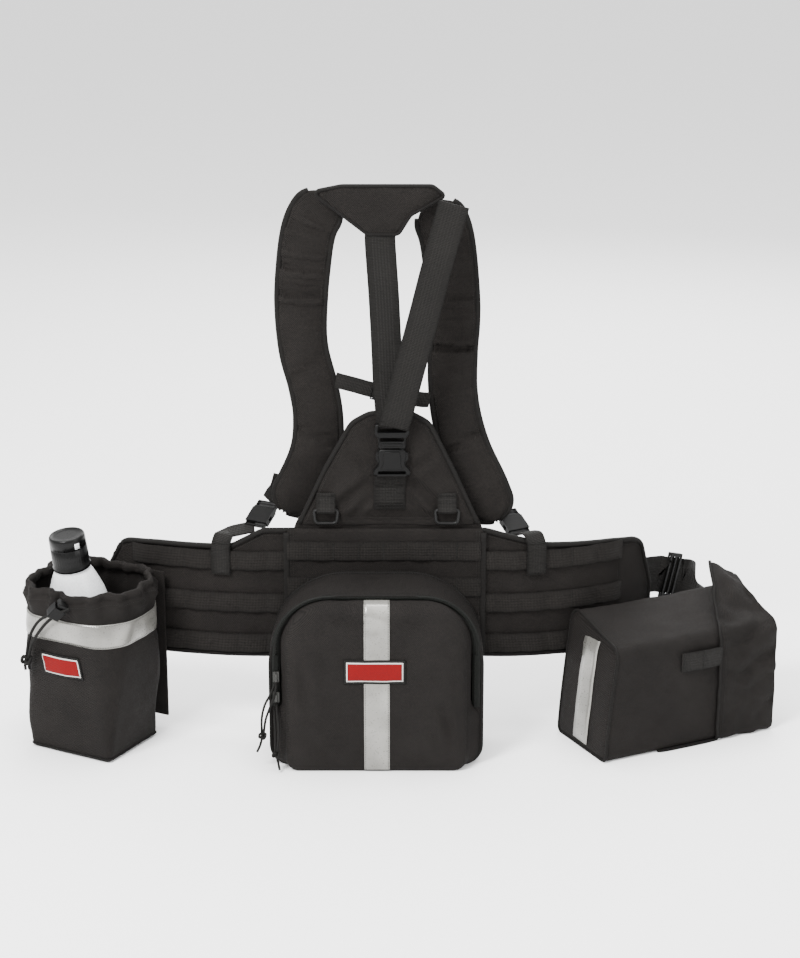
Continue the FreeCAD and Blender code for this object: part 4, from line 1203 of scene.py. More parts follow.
@dataclass
class SideBuckles:
    """Hangers over the wings' first rows and side release buckles."""
    web: float = 25.0

    def hanger(self, side: str) -> bpy.types.Object:
        """The loop through the first row and over the pad's top edge to the socket."""
        s_mid = 88.0 if side == "left" else 72.0
        tail = {"left": (-157 - 12.0, 46 - 20.5, 290 - 15.7), "right": (157 + 12.9, 51.5 - 20.6, 277 - 14.9)}[side]
        out = wing_out(side, s_mid)
        wide = Vector((-out.y, out.x, 0))
        if wide.x < 0:
            wide = -wide
        end = at(*tail)
        front_low = wing_at(side, s_mid, 4.6, 217.5)
        front_mid = wing_at(side, s_mid, 5.0, 236)
        front_top = wing_at(side, s_mid, 4.4, 254)
        crest = wing_at(side, s_mid - 3, -1.5, 266.5)
        beyond = wing_at(side, s_mid - 8, -12, 268)
        path = curve_through([front_low, front_mid, front_top, crest, beyond, end], 8)
        ends = direction(0.8, -0.5 if side == "left" else 0.5, 0)
        across = [wide.lerp(ends, smoothstep(0.55, 1.0, i / (len(path) - 1))) for i in range(len(path))]
        loop = sweep("hanger_webbing_" + side, path, across, self.web * MM, 1.9 * MM)
        dress(loop, WEBBING)
        settle(loop, "belt", ["hanger_straps"] if side == "left" else [])
        back = [wing_at(side, s_mid, 2.6, 217.5), wing_at(side, s_mid, 2.9, 236), wing_at(side, s_mid, 2.6, 252)]
        inner = sweep("hanger_lining_" + side, curve_through(back, 6), wide, self.web * MM, 1.5 * MM)
        dress(inner, WEBBING)
        settle(inner, "belt")
        fold = [wing_at(side, s_mid - 12.0, 3.7, 216.7), wing_at(side, s_mid + 12.0, 3.7, 216.7)]
        bottom = tube("hanger_fold_" + side, resample(fold, 0.003), 1.7 * MM)
        dress(bottom, WEBBING)
        settle(bottom, "belt")
        lines = []
        for z in (249.0, 258.0):
            lines.append([wing_at(side, s_mid - 10.5, 5.9, z), wing_at(side, s_mid + 10.5, 5.9, z)])
        bar_tacks("hanger_tacks_" + side, "belt", lines)
        return loop

    def build(self) -> None:
        """Makes both sides."""
        for side in SIDES:
            self.hanger(side)
            moulded(f"side_{side}_socket", "belt", radius=0.0005)
            moulded(f"side_{side}_plug", f"side_{side}_plug", radius=0.0004)
            for hand in SIDES:
                moulded(f"side_{side}_prong_{hand}", f"side_{side}_prong_{hand}", radius=0.0004)


# ------------------------------------------------------------------ harness
@dataclass
class BackPlate:
    """The padded triangular plate with its binding, ring tabs and rings."""
    corners: tuple[Point, ...] = ((-115, 281, 4), (-80, 357, 60), (-46, 418, 30), (-22, 431, 25), (30, 431, 25),
                                  (54, 418, 30), (84, 357, 60), (118, 281, 4))
    front: float = 2.0
    back: float = 14.0
    ring_x: tuple[float, float] = (-77.0, 75.0)
    bar_z: float = 305.0

    def pad(self) -> bpy.types.Object:
        """The foam plate, crowned, with folds running from the tab's upper corners."""
        outline = rounded_outline(self.corners)
        obj = node_copy("back_plate", "plate_foam")
        even = obj.modifiers.new("even", "REMESH")
        even.mode = "VOXEL"
        even.voxel_size = 0.0045
        obj = baked(obj)
        middle = self.front + 5.0

        def pinch(point: Vector, normal: Vector) -> Vector:
            depth = 1 - smoothstep(0, 15, edge_distance(outline, *front_of(point)))
            y = point.y / MM - ORIGIN.y
            return Vector((0, (middle - y) * 0.5 * depth * MM, 0))

        moved_points(obj, pinch)
        obj = puffed(obj, 0.0045, 0.0025, pressure=5.0,
                     held=lambda p: 1 - smoothstep(5, 16, edge_distance(outline, *front_of(p))))
        folds = [((-14, 346), (-70, 300), 8, 4.2), ((-14, 332), (-44, 296), 6, 2.6), ((-18, 352), (-48, 372), 7, 2.2),
                 ((24, 346), (78, 300), 8, 4.2), ((24, 332), (50, 294), 6, 2.8), ((24, 352), (58, 372), 7, 2.2),
                 ((-70, 336), (-100, 300), 9, 1.4), ((70, 336), (100, 302), 9, 1.4), ((-84, 294), (84, 295), 7, 2.0)]

        def fold(point: Vector, normal: Vector) -> Vector:
            if normal.y > -0.2:
                return normal * crumple(point, 0.05, 0.8, 2.0) * MM
            u, v = front_of(point)
            here = Vector((u, 0, v))
            lift = sum(crease(here, Vector((a[0], 0, a[1])), Vector((b[0], 0, b[1])), width, depth)
                       for a, b, width, depth in folds)
            lift += crumple(point, 0.042, 1.2, 1.0)
            return normal * max(lift, -4.2) * MM

        moved_points(obj, fold)
        dress(obj, PAD_CLOTH)
        obj.name = "plate_cover"
        return settle(obj, "harness", ["back_plate"])

    def binding(self) -> None:
        """Tape round the plate's two slopes and its rounded top, and its stitch line."""
        path = [Vector((u, 0, v)) for u, v in rounded_outline(self.corners)]
        path = resample(path, 4.0, closed=True)
        kept = [p for p in path if p.z > 283]
        start = max(range(len(kept)), key=lambda i: (kept[i] - kept[i - 1]).length)
        kept = kept[start:] + kept[:start]
        centre = Vector((2, 0, 330))
        line, inward, seam = [], [], []
        for index, point in enumerate(kept):
            heading = (kept[min(index + 1, len(kept) - 1)] - kept[max(index - 1, 0)]).normalized()
            normal = Vector((heading.z, 0, -heading.x))
            if normal.dot(centre - point) < 0:
                normal = -normal
            inner = point + normal * 2.4
            line.append(at(inner.x, 7.0, inner.z))
            inward.append(normal)
            far = point + normal * 8.2
            seam.append(at(far.x, 2.1, far.z))
        edge = sweep("plate_binding", line, inward, 6.5 * MM, 8.6 * MM, squareness=2.4)
        dress(edge, BINDING)
        settle(edge, "harness")
        second = [p + Vector((0, -0.4 * MM, 0)) for p in seam]
        stitches("plate_seam", "harness", [second])

    def tabs(self) -> None:
        """The webbing tabs that carry the rings and the one below the buckle."""
        for number, x in enumerate(self.ring_x):
            points = [(x, 0.9, 326.5), (x, -0.9, 318), (x, -2.6, 310.5), (x, -5.0, 306.5), (x, -4.9, 303),
                      (x, -2.0, 301.4), (x, 0.6, 303.5), (x, 1.2, 310)]
            straps("ring_tab_" + SIDES[number], "harness", points, RIGHT, 24, 1.8,
                   ["plate_tabs"] if number == 0 else [])
        lines = []
        for x in self.ring_x:
            for z in (315.0, 323.5):
                depth = -1.75 if z < 320 else -0.75
                lines.append([at(x - 10.5, depth - 0.4, z), at(x + 10.5, depth - 0.4, z)])
        points = [(3, 0.8, 306), (3, -0.4, 318), (3, -1.0, 333), (4, -2.2, 348), (5.2, -4.6, 360), (6, -5.6, 369)]
        straps("buckle_tab", "harness", points, RIGHT, 40, 2.4)
        for z in (309.0, 312.5, 337.0, 340.5):
            lines.append([at(-13.5, -2.0 if z < 320 else -3.2, z), at(19.5, -2.0 if z < 320 else -3.2, z)])
        bar_tacks("plate_tacks", "harness", lines)
        ridge_lines = []
        for step in range(5):
            z = 314.5 + step * 4.6
            ridge_lines.append([at(-15, -1.75 - step * 0.1, z), at(21, -1.75 - step * 0.1, z)])
        stitches("buckle_tab_quilting", "harness", ridge_lines, spacing=2.4)

    def rings(self) -> None:
        """Two flat-bottomed wire rings."""
        for number, x in enumerate(self.ring_x):
            corners = [(x - 15, 305, 2.5), (x - 13.5, 288, 5.0), (x + 13.5, 288, 5.0), (x + 15, 305, 2.5)]
            outline = rounded_outline(corners, 6)
            path = resample([at(u, -2.0, v) for u, v in outline], 0.0022, closed=True)
            obj = tube("wire_ring_" + SIDES[number], path, 2.0 * MM, closed=True, sides=14)
            dress(obj, RING_METAL)
            settle(obj, "ring_" + SIDES[number], ["ring_" + SIDES[number]])

    def hinge_cloth(self) -> None:
        """The cloth that joins the plate's foot to the belt's upper edge."""
        rows = []
        for step in range(13):
            z = 268 + 26 * step / 12
            y = 3.0 + 3.4 * math.sin(math.pi * step / 12)
            half = 118 + 0.42 * (281 - z)
            rows.append([at(1 + half * (col / 20 - 1), y + 0.9 * noise.noise(Vector((col / 3, step / 3, 2))), z)
                         for col in range(41)])
        obj = ring_sheet("plate_hinge_cloth", rows, closed=False)
        if obj.data.polygons[100].normal.y > 0:
            obj.data.flip_normals()
        obj = thickened(obj, 2.2 * MM)
        dress(obj, PAD_CLOTH)
        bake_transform(obj)

    def build(self) -> None:
        """Makes the whole plate."""
        self.pad()
        self.hinge_cloth()
        self.binding()
        self.tabs()
        self.rings()


@dataclass
class ShoulderStraps:
    """The two padded shoulder bands, joined by the yoke."""
    thickness: float = 12.0
    left: tuple[Point, ...] = ((-69, 22, 699), (-94, 31, 660), (-104, 38, 600), (-107, 42, 545), (-104, 42, 500),
                               (-93, 42, 455), (-87, 41, 415), (-90, 40, 370), (-108, 38, 325), (-131, 37, 292))
    right: tuple[Point, ...] = ((54, 22, 691), (72, 31, 650), (80, 38, 590), (83, 42, 540), (82, 42, 500),
                                (82, 42, 455), (87, 41, 415), (99, 40, 370), (119, 38, 325), (138, 37, 279))
    widths: tuple[float, ...] = (66, 66, 66, 65, 61, 60, 61, 64, 66, 64)
    left_folds: tuple[Point, ...] = ((132, 5.0, 0.0), (62, 2.4, 0.1), (84, 2.3, -0.1), (104, 2.6, 0.05),
                                     (352, 2.2, 0.3))
    right_folds: tuple[Point, ...] = ((193, 4.4, 0.0), (120, 2.2, 0.1), (150, 2.4, -0.1), (172, 1.8, 0.0),
                                      (338, 2.6, -0.3))

    def centre_line(self, side: str) -> tuple[list[Vector], list[Vector], list[float]]:
        """Centre points, width directions and half widths along a band, in metres."""
        route = [at(*p) for p in (self.left if side == "left" else self.right)]
        path = resample(curve_through(route, 12), 0.0042)
        across, halves = [], []
        total = len(path) - 1
        for index, point in enumerate(path):
            heading = path[min(index + 1, total)] - path[max(index - 1, 0)]
            across.append(Vector((-heading.z, 0, heading.x)).normalized())
            share = index / total * (len(self.widths) - 1)
            low = int(min(share, len(self.widths) - 2))
            half = self.widths[low] + (self.widths[low + 1] - self.widths[low]) * (share - low)
            left_over = (total - index) * 0.0042 / MM
            half = half / 2
            run = index * 0.0042 / MM
            for gone, reach in ((left_over, 26.0), (run, 30.0)):
                if gone < reach:
                    half *= math.sqrt(max(1 - ((reach - gone) / (reach + 1)) ** 2, 0.04))
            halves.append(half * MM)
        return path, across, halves

    def band(self, side: str) -> bpy.types.Object:
        """One padded band: crowned faces, pinched edges, cross folds on the bend."""
        path, across, halves = self.centre_line(side)
        rings = []
        columns = 14
        half_thick = self.thickness / 2 * MM
        for index, point in enumerate(path):
            heading = path[min(index + 1, len(path) - 1)] - path[max(index - 1, 0)]
            lift = heading.normalized().cross(across[index]).normalized()
            if lift.y > 0:
                lift = -lift
            ring = []
            for sign in (1, -1):
                for column in range(columns + 1) if sign > 0 else range(columns - 1, 0, -1):
                    u = -1 + 2 * column / columns
                    crown = 0.28 + 0.86 * (1 - abs(u) ** 2.6)
                    ring.append(point + across[index] * (u * halves[index]) + lift * (sign * crown * half_thick))
            rings.append(ring)
        obj = ring_sheet("band_" + side, rings)
        mesh = bmesh.new()
        mesh.from_mesh(obj.data)
        mesh.verts.ensure_lookup_table()
        size = len(rings[0])
        for first, backwards in ((0, True), ((len(rings) - 1) * size, False)):
            loop = [mesh.verts[first + k] for k in range(size)]
            mesh.faces.new(loop if backwards else list(reversed(loop)))
        bmesh.ops.recalc_face_normals(mesh, faces=mesh.faces)
        mesh.to_mesh(obj.data)
        mesh.free()

        def edge_gap(point: Vector) -> float:
            best = min(range(len(path)), key=lambda k: (path[k] - point).length_squared)
            offset = abs((point - path[best]).dot(across[best]))
            return (halves[best] - offset) / MM

        obj = puffed(obj, 0.0046, 0.0022, pressure=5.0, held=lambda p: 1 - smoothstep(2, 12, edge_gap(p)), smooth=2)
        seed = 4.0 if side == "left" else 9.0
        folds = self.left_folds if side == "left" else self.right_folds

        def fold(point: Vector, normal: Vector) -> Vector:
            best = min(range(0, len(path), 2), key=lambda k: (path[k] - point).length_squared)
            run = best * 4.2
            wave = crumple(Vector((point.x * 0.6, point.y, point.z * 1.8)), 0.030, 1.1, seed)
            bend = 1.9 * math.sin(run / 6.5 + 4 * noise.noise(Vector((run / 50, point.x * 14, seed))))
            bend *= max(0.0, 1 - abs(run - 95) / 95) + 0.5 * max(0.0, 1 - abs(run - 215) / 70)
            deep = 0.0
            for at_run, depth, slant in folds:
                gap = (run - at_run - slant * point.x * 1000) / 5.5
                deep -= depth * (math.exp(-gap * gap) - 0.5 * math.exp(-((gap - 2.0) ** 2) * 0.8)
                                 - 0.3 * math.exp(-((gap + 2.0) ** 2) * 0.8))
            offset = abs((point - path[best]).dot(across[best]))
            inner = smoothstep(1.0, 10.0, (halves[best] - offset) / MM)
            return normal * (wave + bend + deep) * inner * MM

        moved_points(obj, fold)
        dress(obj, PAD_CLOTH)
        obj.name = "shoulder_band_" + side
        return settle(obj, "harness", ["shoulder_pad_" + side])

    def bindings(self, side: str) -> None:
        """Tape round the band's edge and its seam."""
        path, across, halves = self.centre_line(side)
        edge, wide, seam = [], [], []
        for sign in (-1, 1):
            order = range(3, len(path)) if sign < 0 else range(len(path) - 1, 2, -1)
            for index in order:
                edge.append(path[index] + across[index] * (sign * (halves[index] - 2.6 * MM)))
                wide.append(across[index] * sign)
                heading = (path[min(index + 1, len(path) - 1)] - path[max(index - 1, 0)]).normalized()
                front = heading.cross(across[index])
                front = -front if front.y > 0 else front
                if halves[index] > 12 * MM:
                    seam.append(path[index] + across[index] * (sign * (halves[index] - 7.6 * MM)) + front * 4.9 * MM)
        smooth = resample(edge, 0.0045)
        count = len(smooth)
        sides = [wide[min(int(i / count * len(wide)), len(wide) - 1)] for i in range(count)]
        obj = sweep("shoulder_binding_" + side, smooth, sides, 7.6 * MM, 6.4 * MM, squareness=2.4)
        dress(obj, BINDING)
        settle(obj, "harness")
        half_count = len(seam) // 2
        stitches("shoulder_seam_" + side, "harness", [seam[:half_count], seam[half_count:]])

    def yoke(self) -> None:
        """The pad across the shoulders, bound along its edge."""
        corners = [(-24, 652, 8), (-55, 676, 12), (-95, 706, 6), (-55, 714, 30), (56, 714, 10), (74, 700, 5),
                   (30, 676, 12), (15, 652, 8)]
        outline = rounded_outline(corners)
        obj = node_copy("yoke_pad", "yoke_foam")
        even = obj.modifiers.new("even", "REMESH")
        even.mode = "VOXEL"
        even.voxel_size = 0.0035
        obj = baked(obj)

        def pinch(point: Vector, normal: Vector) -> Vector:
            depth = 1 - smoothstep(0, 13, edge_distance(outline, *front_of(point)))
            y = point.y / MM - ORIGIN.y
            return Vector((0, (8.0 - y) * 0.55 * depth * MM, 0))

        moved_points(obj, pinch)
        obj = puffed(obj, 0.0038, 0.0022, pressure=5.0,
                     held=lambda p: 1 - smoothstep(4, 13, edge_distance(outline, *front_of(p))))
        moved_points(obj, lambda p, n: n * crumple(p, 0.028, 0.9, 6.0) * MM)
        dress(obj, PAD_CLOTH)
        obj.name = "yoke_cover"
        settle(obj, "harness", ["yoke_pad"])
        path = resample([Vector((u, 0, v)) for u, v in outline], 3.0, closed=True)
        centre = Vector((-8, 0, 690))
        line, inward, seam = [], [], []
        for index, point in enumerate(path):
            heading = (path[(index + 1) % len(path)] - path[index - 1]).normalized()
            normal = Vector((heading.z, 0, -heading.x))
            if normal.dot(centre - point) < 0:
                normal = -normal
            inner = point + normal * 1.8
            line.append(at(inner.x, 8.0, inner.z))
            inward.append(normal)
            far = point + normal * 7.5
            seam.append(at(far.x, 3.1, far.z))
        edge = sweep("yoke_binding", line, inward, 5.0 * MM, 7.4 * MM, closed=True, squareness=2.4)
        dress(edge, BINDING)
        settle(edge, "harness")
        stitches("yoke_seam", "harness", [seam])

    def build(self) -> None:
        """Makes both bands and the yoke."""
        for side in SIDES:
            self.band(side)
            self.bindings(side)
        self.yoke()


@dataclass
class HarnessStraps:
    """Webbing of the harness: the back straps, the sternum strap and the side adjusters."""
    web: float = 38.0

    def back_straps(self) -> None:
        """The strap from the yoke to the back buckle, and the tail thrown over the shoulder."""
        points = [(-8, 8, 655), (-8, 8, 640), (-4, 8, 580), (-1, 7, 520), (1, 4, 470), (3.5, -0.6, 438),
                  (5.2, -3.2, 420), (6, -5.2, 413.5)]
        path = curve_through([at(*p) for p in points], 8)
        rise = sweep("yoke_webbing", path, RIGHT, self.web * MM, 1.8 * MM)
        dress(rise, WEBBING)
        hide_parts("yoke_strap")
        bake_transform(rise)
        tail = [(6.5, -4.5, 412.5), (7, -8.5, 414.5), (9.5, -12, 419), (14, -14.0, 436), (20, -15, 460),
                (33, -15.4, 510), (46, -15.4, 560), (58, -15, 608), (69, -14.6, 650), (81, -14, 694)]
        wide = [direction(1, 0, 0), direction(1, 0, -0.05), direction(1, 0, -.12), direction(1, 0, -.17),
                direction(1, 0, -.2), direction(1, 0, -.22), direction(1, 0, -.24), direction(1, 0, -.25),
                direction(1, 0, -.26), direction(1, 0, -.27)]
        straps("tail_webbing", "back_plug", tail, wide, self.web, 1.8, ["strap_tail"])
        for hand in SIDES:
            moulded("back_prong_" + hand, "back_prong_" + hand)
        self.back_buckle()

    def back_buckle(self) -> None:
        """The large side release buckle: a waisted socket and a plug with a wide strap loop."""
        def mirrored(half: Sequence[tuple[float, float]]) -> list[tuple[float, float]]:
            return [(u, v) for u, v in half] + [(-u, v) for u, v in reversed(half)]

        def opening(half: float, low: float, high: float) -> list[tuple[float, float]]:
            corners = [(-half, low, 1.2), (half, low, 1.2), (half, high, 1.2), (-half, high, 1.2)]
            return rounded_outline(corners, 4)

        def upright(depth_at: float) -> Callable[[float, float, float], Vector]:
            return lambda u, v, w: at(6.0 + u, depth_at - w, v)

        socket = mirrored([(14.5, 386.5), (17.2, 384.5), (17.8, 379.0), (16.4, 373.5), (16.0, 369.5), (17.2, 365.5),
                           (20.2, 362.0), (22.6, 359.5), (23.2, 355.0), (21.8, 352.6)])
        shell = moulded_plate("back_socket_shell", socket, [opening(16.8, 354.6, 357.6)], 10.4, upright(-6.3), 2.2)
        raised = moulded_plate("back_socket_face", mirrored([(9.5, 384.0), (10.8, 376.0), (10.6, 368.0), (13.2, 361.6)]),
                               [], 2.4, upright(-11.7), 0.8)
        obj = joined("back_socket_shape", [dress(shell, ACETAL), dress(raised, ACETAL)])
        settle(obj, "harness", ["back_socket"])
        plug = mirrored([(19.6, 418.2), (21.4, 416.4), (21.6, 406.5), (19.6, 403.2), (17.6, 400.0), (17.2, 389.0),
                         (15.6, 387.2)])
        frame_part = moulded_plate("back_plug_frame", plug, [opening(17.6, 408.2, 413.8), opening(14.6, 396.6, 400.6)],
                                   7.2, upright(-6.3), 1.7)
        bar = moulded_plate("back_plug_ridge", rounded_outline([(-13, 391, 1), (13, 391, 1), (13, 394, 1),
                                                                (-13, 394, 1)], 3), [], 2.0, upright(-10.2), 0.7)
        obj = joined("back_plug_shape", [dress(frame_part, ACETAL), dress(bar, ACETAL)])
        settle(obj, "back_plug", ["back_plug"])

    def sternum(self) -> None:
        """The narrow strap between the shoulder bands with its small buckle."""
        left = [(-64, 33, 464.5), (-58, 29, 463.8), (-40, 26, 459.8), (-24, 23.4, 455.8), (-10, 22.4, 452.4)]
        right = [(8, 23, 448.6), (20, 23, 445.6), (26, 24, 444.2), (40, 27, 441.2), (47, 29, 440), (53, 33, 439)]
        one = sweep("sternum_webbing_left", curve_through([at(*p) for p in left], 6), direction(.23, 0, .97), 20 * MM, 1.7 * MM)
        dress(one, WEBBING)
        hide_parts("sternum_straps")
        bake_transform(one)
        two = sweep("sternum_webbing_right", curve_through([at(*p) for p in right], 6), direction(.23, 0, .97), 20 * MM,
                    1.7 * MM)
        dress(two, WEBBING)
        settle(two, "harness")
        moulded("sternum_socket", "harness", radius=0.0004)
        moulded("sternum_plug", "sternum_plug", radius=0.0004)

    def adjusters(self) -> None:
        """Short straps from the shoulder bands' ends to the side plugs, with loose running ends."""
        for side, sign in (("left", 1.0), ("right", -1.0)):
            foot = {"left": (-150.7, 56.7, 298.2), "right": (150.2, 62.2, 284.9)}[side]
            top = {"left": (-138, 44.6, 320), "right": (146, 44.6, 305)}[side]
            high = (top[0] + sign * 5, top[1] - 1.2, top[2] + 17)
            middle = tuple((a + b) / 2 + c for a, b, c in zip(foot, top, (0.0, 2.2, 0.0)))
            points = [high, top, middle, foot]
            wide = [direction(.82, 0, -sign * .57), direction(.82, 0, -sign * .57),
                    direction(.82, -sign * .25, -sign * .28), direction(.8, -sign * .5, 0)]
            band = sweep("adjuster_webbing_" + side, curve_through([at(*p) for p in points], 8),
                         curve_through(wide, 8), 24 * MM, 1.8 * MM)
            dress(band, WEBBING)
            if side == "left":
                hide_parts("side_straps")
            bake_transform(band)

    def build(self) -> None:
        """Makes all harness webbing."""
        self.back_straps()
        self.sternum()
        self.adjusters()


# ------------------------------------------------------------------ cords
def free_cord(name: str, body: str, points: Sequence[Point], exit_point: Point,
              declared: bool = True,
              diameter: float = 3.0) -> bpy.types.Object:
    """A braided cord through belt points, measured along its own line.

    Args:
        name: the piece's name.
        body: the body it rides on.
        points: the route, belt mm.
        exit_point: where it leaves the object, belt mm.
        declared: whether the exit point is worked out; the result is not kept.
        diameter: in mm.

    Returns:
        The curve.
    """
    path = resample(curve_through([at(*p) for p in points], 10), 0.003)
    curve = bpy.data.curves.new(name, "CURVE")
    curve.dimensions = "3D"
    curve.bevel_depth = diameter / 2 * MM
    curve.bevel_resolution = 4
    curve.use_fill_caps = True
    spline = curve.splines.new("NURBS")
    spline.points.add(len(path) - 1)
    for point, place in zip(spline.points, path):
        point.co = (*place, 1)
    spline.order_u = 3
    spline.use_endpoint_u = True
    curve.materials.append(CORD_BRAID.material())
    obj = bpy.data.objects.new(name, curve)
    bpy.context.scene.collection.objects.link(obj)
    settle(obj, body)
    if declared:
        at(*exit_point)
    return obj


def knot(name: str, body: str, centre: Point, heading: Point, size: float,
         replaces: Sequence[str] = ()) -> bpy.types.Object:
    """An overhand knot: one cord wound as a trefoil."""
    axis = direction(*heading)
    first = axis.orthogonal().normalized()
    second = axis.cross(first)
    path = []
    steps = 72
    for step in range(steps):
        t = math.tau * step / steps
        u = (math.sin(t) + 1.5 * math.sin(2 * t)) / 2.5
        v = (math.cos(t) - 1.5 * math.cos(2 * t)) / 2.5
        w = -math.sin(3 * t)
        path.append(at(*centre) + (first * u + second * v) * (size * 0.60 * MM) + axis * (w * size * 0.40 * MM))
    obj = tube(name, path, size * 0.21 * MM, closed=True, sides=12)
    dress(obj, CORD_BRAID)
    return settle(obj, body, replaces)


# ------------------------------------------------------------------ bottle pouch
@dataclass
class BottlePouch:
    """A gathered bucket pouch with a reflective band, a patch, a drawcord and a bottle."""
    at_x: float = -374.0
    at_y: float = -13.0
    turn: float = 151.4
    sections: tuple[Point, ...] = ((0, 60, 58, 5), (14, 62, 59, 8), (150, 74, 66, 40), (184, 77, 68, 54),
                                   (224, 79, 69, 62))
    count: int = 168
    band: tuple[float, float] = (153.0, 184.0)
    patch: tuple[float, float, float, float] = (-30.0, 32.0, 108.0, 137.0)
    cord: float = 3.8

    def place(self, t: float, n: float, z: float) -> Vector:
        """Row-frame point of pouch coordinates in mm: t along its width, n outwards."""
        angle = math.radians(self.turn)
        return at(self.at_x + t * math.cos(angle) - n * math.sin(angle),
                  self.at_y + t * math.sin(angle) + n * math.cos(angle), z)

    def section(self, z: float) -> list[tuple[float, float]]:
        """The pouch's plan outline at a height, in (t, n) mm, from a fixed starting corner."""
        low, high = self.sections[0], self.sections[1]
        for a, b in zip(self.sections, self.sections[1:]):
            if z >= a[0]:
                low, high = a, b
        share = min(max((z - low[0]) / (high[0] - low[0]), 0), 1)
        w, d, r = (a + (b - a) * share for a, b in zip(low[1:], high[1:]))
        outline = rounded_outline([(-w, -d, r), (w, -d, r), (w, d, r), (-w, d, r)], 10)
        even = resample([Vector((u, v, 0)) for u, v in outline], 1.0, closed=True)
        tuck = 1 - 0.20 * (1 - smoothstep(0, 150, z))
        points = [even[int(i * len(even) / self.count)] for i in range(self.count)]
        return [(p.x, p.y * tuck if p.y < 0 else p.y) for p in points]

    def skin(self, index: int, z: float, lift: float = 0.0) -> Vector:
        """A point of the finished, folded cloth surface; lift grows it outwards, all mm."""
        t, n = self.section_cache(min(z, 224.0))[index % self.count]
        length = math.hypot(t, n)
        out_t, out_n = t / length, n / length
        angle = math.atan2(n, t)
        front = max(0.0, math.sin(angle))
        low_noise = Vector((math.cos(angle) * 1.5, math.sin(angle) * 1.5, z / 62))
        wave = 4.6 * noise.noise(low_noise + Vector((7, 3, 1))) * smoothstep(4, 60, z)
        gather = smoothstep(182, 204, z)
        pleats = math.sin(angle * 15 + 5.0 * noise.noise(Vector((math.cos(angle) * 2, math.sin(angle) * 2, 4))))
        wave += gather * (2.6 * pleats * (0.6 + 0.8 * (noise.noise(Vector((angle * 2, 9, 2))) + 0.5)))
        wave += 3.0 * math.exp(-((z - 203) / 11) ** 2) - 6.5 * smoothstep(206, 221, z)
        sag = 2.2 * math.exp(-((z - 150) / 9) ** 2) + 1.5 * math.exp(-((z - 188) / 7) ** 2)
        wave -= sag * (0.5 + front * 0.5)
        wave += 2.4 * math.exp(-((z - 60) / 46) ** 2) * (0.4 + 0.6 * front)
        wave += 1.1 * noise.noise(Vector((t / 16, n / 16, z / 11))) * smoothstep(2, 26, z) * (0.6 + gather)
        grow = wave + lift
        return self.place(t + out_t * grow, n + out_n * grow, z)

    def section_cache(self, z: float) -> list[tuple[float, float]]:
        """Sections are reused for equal heights."""
        key = round(z, 2)
        if key not in self._cache:
            self._cache[key] = self.section(key)
        return self._cache[key]

    def __post_init__(self) -> None:
        """Starts the section store."""
        self._cache: dict[float, list[tuple[float, float]]] = {}

    def rim(self, index: int) -> float:
        """Height of the rim: lower at the front, with a little wave."""
        t, n = self.section_cache(224.0)[index % self.count]
        angle = math.atan2(n, t)
        return 220.0 - 2.5 * max(0.0, math.sin(angle)) + 4.5 * noise.noise(Vector((math.cos(angle) * 2.4, math.sin(angle) * 2.4, 5)))

    def bucket(self) -> None:
        """The cloth bucket, its base and its hem."""
        rings = []
        for step in range(26, -1, -1):
            rings.append([self.skin(i, 3 + (self.rim(i) - 3) * (step / 26)) for i in range(self.count)])
        for z, inset in ((1.0, 1.2), (0.2, 4.0), (0.3, 14.0), (0.6, 30.0)):
            row = []
            for t, n in self.section_cache(0.0):
                length = math.hypot(t, n)
                row.append(self.place(t * (1 - inset / length), n * (1 - inset / length), z))
            rings.append(row)
        obj = ring_sheet("bottle_bucket_cloth", rings, centre=True)
        face_outwards(obj)
        obj = thickened(obj, 2.2 * MM)
        dress(obj, POUCH_CLOTH)
        settle(obj, "belt", ["bottle_pouch"])
        moulded("bottle_pouch_back", "belt", POUCH_CLOTH, 0.0012)
        line = [self.skin(i, self.rim(i) - 4.0, -0.6) for i in range(self.count)]
        hem = sweep("bottle_bucket_hem", line, UP, 13 * MM, 7.5 * MM, closed=True, squareness=2.2)
        moved_points(hem, lambda p, n: n * crumple(p, 0.010, 1.5, 2.0) * MM)
        dress(hem, POUCH_CLOTH)
        settle(hem, "belt")
        seams = [[self.skin(i, self.rim(i) - 11.5, 0.5) for i in range(self.count + 1)]]
        stitches("bottle_bucket_seams", "belt", seams)
        base = tube("bottle_base_piping", [self.skin(i, 4.0, 0.2) for i in range(self.count)], 1.3 * MM, closed=True)
        dress(base, BINDING)
        settle(base, "belt")
        angle = math.radians(self.turn)
        wide = Vector((math.cos(angle), math.sin(angle), 0))
        for number, t in enumerate((-32.0, 30.0)):
            points = [self.place(t, -70.5, 60), self.place(t, -73.8, 90), self.place(t, -75.2, 140),
                      self.place(t, -75.0, 190), self.place(t, -71.5, 206)]
            strap = sweep(f"bottle_back_web_{number + 1}", curve_through(points, 6), wide, 25 * MM, 1.8 * MM)
            dress(strap, WEBBING)
            settle(strap, "belt")

    def tape(self) -> None:
        """The reflective band with a stitched edge above and below."""
        low, high = self.band
        rows = []
        for step in range(9):
            z = low + (high - low) * step / 8
            rows.append([self.skin(i, z, 0.8) for i in range(self.count)])
        obj = ring_sheet("bottle_reflective_band", rows)
        face_outwards(obj)
        obj = thickened(obj, 0.5 * MM)
        dress(obj, SILVER)
        settle(obj, "belt", ["bottle_band"])
        lines = [[self.skin(i, z, 1.0) for i in range(self.count + 1)] for z in (low + 1.8, high - 1.8)]
        stitches("bottle_band_stitches", "belt", lines, GREY_THREAD)

